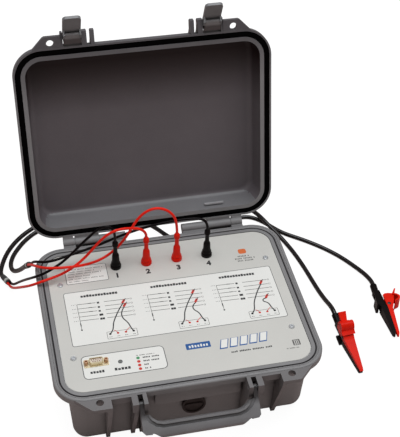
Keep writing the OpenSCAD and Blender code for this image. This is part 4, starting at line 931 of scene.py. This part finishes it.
def diagram(left, drop, seed):
    """One wiring diagram: a title of blocks, five supply lines, an earth rod, two clips, and the instrument.

    The drop is how far down its second clip sits. The leads are smooth lines from clips to terminals.
    """
    bold.extend(blocks(left + 21, left + 70, 37.8, 4.6, 3, -0.03, 0.8, NO_GAPS))
    for k, y in enumerate(SUPPLY_YS):
        supply_line(left, k, y)
    bold.append(bar(left + 14.6, 26.0, left + 15.0, -19, 0.55))
    bold.append(bar(left + 14.9, -7.5, left + 15.0, -13, 1.3))
    bold.append(dot(left + 15.0, -19.5, 1.2))
    for x, y in ((left + 75, 20.5), (left + 75.8, 14.0 - drop)):
        red.append(bar(x - 2.2, y - 2.8, x + 1.6, y + 3.2, 3.2, TOP_HIGH))
        bold.append(bar(x - 0.4, y + 0.6, x + 3.4, y + 5.0, 1.0, TOP_HIGH + 0.02))
    first = [(74, 18), (66, 6), (60.5, -5), (55.6, -15), (54.6, -26), (TERMINALS[0], TERMINAL_Y)]
    second = [(74.4, 11 - drop), (68.6, 2 - drop * 0.6), (68.6, -9 - drop * 0.3), (75, -16.8), (76.4, -26.5),
              (TERMINALS[3], TERMINAL_Y)]
    for lead in (first, second):
        drawn.append(stripe(smooth(lead, 5) + (left, 0), 1.5, SHEET_LOW, TOP_HIGH))
    for link in ([(54.7, -27.2), (57.6, -28.6), (TERMINALS[1], TERMINAL_Y)],
                 [(75.6, -25.8), (71.8, -28.6), (TERMINALS[2], TERMINAL_Y)]):
        red.append(stripe(smooth(link, 5) + (left, 0), 0.75, SHEET_LOW, TOP_HIGH))
    for x, ink_list in zip(TERMINALS, (bold, red, red, bold)):
        ink_list.append(dot(left + x, TERMINAL_Y, 1.6))
    fine.append(frame_line(left + 45.2, -41.0, left + 83.6, -29.0, 0.8, 0.55))
    for x in TERMINALS:
        fine.extend(blocks(left + x - 2, left + x + 2, -38.4, 1.2, 3 * seed))


for left, drop, seed in zip(DIAGRAM_LEFTS, CLIP_DROPS, (3, 4, 5)):
    diagram(left, drop, seed)

# Rows of blocks in the upper left box, as height up the panel and share of the width
WORD_ROWS = ((90.8, 0.95), (86.4, 0.72), (82.2, 0.9), (77.4, 0.62), (72.6, 0.94), (68.0, 0.55))
for row, (y, share) in enumerate(WORD_ROWS):
    x0 = WORD_BOX[0] + 3
    fine.extend(blocks(x0, x0 + share * 50, y, 1.9, 20 + row, share=0.5))

# In the lower left box, blocks under the connector and the lamp, and four rows with a coloured dot each
LABELS = ((-123.6, -105.6, -93.4, 4.3), (-93.6, -73.0, -93.8, 4.4))
for k, (x0, x1, y, height) in enumerate(LABELS):
    bold.extend(blocks(x0, x1, y, height, 30 + k, gap_every=NO_GAPS, share=0.76))
fine.extend(blocks(-63.8, -40.6, -75.4, 1.6, 33))
LEGEND_X = -62.0
LEGEND_ROWS = ((-79.0, 21.0), (-84.8, 20.0), (-90.8, 6.0), (-96.7, 8.0))
for k, (y, width) in enumerate(LEGEND_ROWS):
    bold.extend(blocks(-56.4, -56.4 + width, y - 1.2, 2.3, 40 + k, share=0.7, gap_every=9))
legend = [dot(LEGEND_X, y, 2.2) for y, _ in LEGEND_ROWS]

# A blue plate with blank blocks, and a row of leaning blue plates, each with a blank white tile
TILE_W, TILE_H, TILE_LEAN = 10.2, 15.6, 0.3
leaning = np.array([(0, 0), (TILE_W, 0), (TILE_W + TILE_LEAN * TILE_H, TILE_H), (TILE_LEAN * TILE_H, TILE_H)])
blue = [slab(rounded_outline(0.0, -78.2, 31.5, -68.2, 0.8), SHEET_LOW, INK_HIGH)]
tiles = []
for k, x in enumerate(np.linspace(41.0, 92.6, 5)):
    low = -84.4 + 0.6 * k
    tiles.append(slab(leaning * (0.8, 0.86) + (x + 1.8, low + 1.4), SHEET_LOW, TOP_HIGH))
    blue.append(slab(leaning + (x, low - 0.4), SHEET_LOW, INK_HIGH))
tiles.extend(blocks(3.0, 28.8, -75.6, 4.6, 58, 0.0, 0.6, NO_GAPS))
bold.extend(blocks(54.0, 107.0, -93.4, 2.6, 60, 0.0, 0.7, 8))

# A bare orange plate over three rows of blocks, and a small box with four bars in the near right corner
orange = [slab(rounded_outline(106.5, 79.4, 117.5, 88.6, 3.0), SHEET_LOW, INK_HIGH)]
for row, (x0, x1) in enumerate(((103.5, 119.5), (98.5, 126.5), (101.5, 123.5))):
    bold.extend(blocks(x0, x1, 73.6 - 4.4 * row, 2.5, 50 + row, share=0.5))
fine.extend(bar(x, -95.5, x, -88.0, 1.2) for x in (135.6, 138.0, 140.4, 142.6))
fine.append(frame_line(134.6, -96.2, 143.4, -87.4, 0.6, 0.7))
fine.extend(blocks(123.8, 140.4, -100.8, 1.5, 61))

printed("panel_white_boxes", sheets, PAPER)
printed("panel_borders", borders, INK_GREY)
printed("panel_fine_marks", fine, INK_PALE)
printed("panel_bold_marks", bold, INK_DARK)
printed("panel_red_marks", red + legend[1:], INK_RED)
printed("panel_drawn_leads", drawn, INK_DARK)
printed("panel_green_dot", legend[:1], INK_GREEN)
printed("panel_blue_plates", blue, INK_BLUE)
printed("panel_white_tiles", tiles, PAPER)
printed("panel_orange_plate", orange, INK_ORANGE)


def digits():
    """The socket numbers, plain figures made a mesh and laid on the panel below the sockets."""
    for n, x in enumerate(SOCKET_XS, 1):
        figure = bpy.data.curves.new(f"number_{n}", "FONT")
        figure.body = str(n)
        figure.size = 11.5 * MM
        figure.extrude = 0.05 * MM
        figure.offset = 0.6 * MM
        figure.align_x = "CENTER"
        figure.align_y = "CENTER"
        holder = bpy.data.objects.new(f"number_{n}", figure)
        bpy.context.scene.collection.objects.link(holder)
        bpy.context.view_layer.update()
        mesh = bpy.data.meshes.new_from_object(holder.evaluated_get(bpy.context.evaluated_depsgraph_get()))
        bpy.data.objects.remove(holder)
        mesh.transform(Matrix.Translation(((x - 0.6) * MM, 69.6 * MM, (PANEL_TOP + 0.04) * MM)))
        mesh.materials.clear()
        mesh.materials.append(INK_DARK)
        piece = bpy.data.objects.new(f"socket_number_{n}", mesh)
        bpy.context.scene.collection.objects.link(piece)
        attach(piece, "base")


digits()


# Floor and light


def white_floor():
    """Large floor that the camera sees nearly white, and that lights the case as a dim warm grey."""
    mesh = bpy.data.meshes.new("floor")
    mesh.from_pydata([(-4, -4, 0), (4, -4, 0), (4, 4, 0), (-4, 4, 0)], [], [(0, 1, 2, 3)])
    floor = bpy.data.objects.new("floor", mesh)
    bpy.context.scene.collection.objects.link(floor)
    material, tree, shader, add = node_tree("floor_white")
    tree.nodes.remove(shader)
    seen = add("ShaderNodeLightPath").outputs["Is Camera Ray"]
    bounced = add("ShaderNodeBsdfDiffuse")
    bounced.inputs["Color"].default_value = (0.68, 0.56, 0.53, 1)
    glow = add("ShaderNodeEmission")
    glow.inputs["Strength"].default_value = 0.95
    shadowed = add("ShaderNodeBsdfDiffuse")
    shadowed.inputs["Color"].default_value = (0.16, 0.16, 0.16, 1)
    plain = add("ShaderNodeAddShader", [(0, glow.outputs[0]), (1, shadowed.outputs[0])])
    mix = add("ShaderNodeMixShader", [("Fac", seen), (1, bounced.outputs[0]), (2, plain.outputs[0])])
    tree.links.new(mix.outputs[0], tree.nodes["Material Output"].inputs["Surface"])
    mesh.materials.append(material)


def soft_lamp():
    """Wide square lamp, a little cool, above the case and turned towards it."""
    lamp = bpy.data.lights.new("soft_box", "AREA")
    lamp.shape = "SQUARE"
    lamp.size = 1.8
    lamp.energy = 36
    lamp.color = (0.96, 1.0, 1.03)
    box = bpy.data.objects.new("soft_box", lamp)
    box.location = (0.15, 0.1, 2.1)
    box.rotation_euler = (Vector((0, 0, 0.1)) - box.location).to_track_quat("-Z", "Y").to_euler()
    bpy.context.scene.collection.objects.link(box)


def dim_sky():
    """Dim warm light from all round, behind a background that the camera sees plain white."""
    world = bpy.data.worlds.new("studio")
    world.use_nodes = True
    sky, link = world.node_tree.nodes, world.node_tree.links.new
    dim = sky["Background"]
    dim.inputs["Color"].default_value = (1.0, 0.93, 0.9, 1)
    dim.inputs["Strength"].default_value = 0.22
    plain = sky.new("ShaderNodeBackground")
    plain.inputs["Color"].default_value = (1, 1, 1, 1)
    path = sky.new("ShaderNodeLightPath")
    mix = sky.new("ShaderNodeMixShader")
    link(path.outputs["Is Camera Ray"], mix.inputs["Fac"])
    link(dim.outputs[0], mix.inputs[1])
    link(plain.outputs[0], mix.inputs[2])
    link(mix.outputs[0], sky["World Output"].inputs["Surface"])
    bpy.context.scene.world = world
    bpy.context.scene.view_settings.view_transform = "Standard"


white_floor()
soft_lamp()
dim_sky()
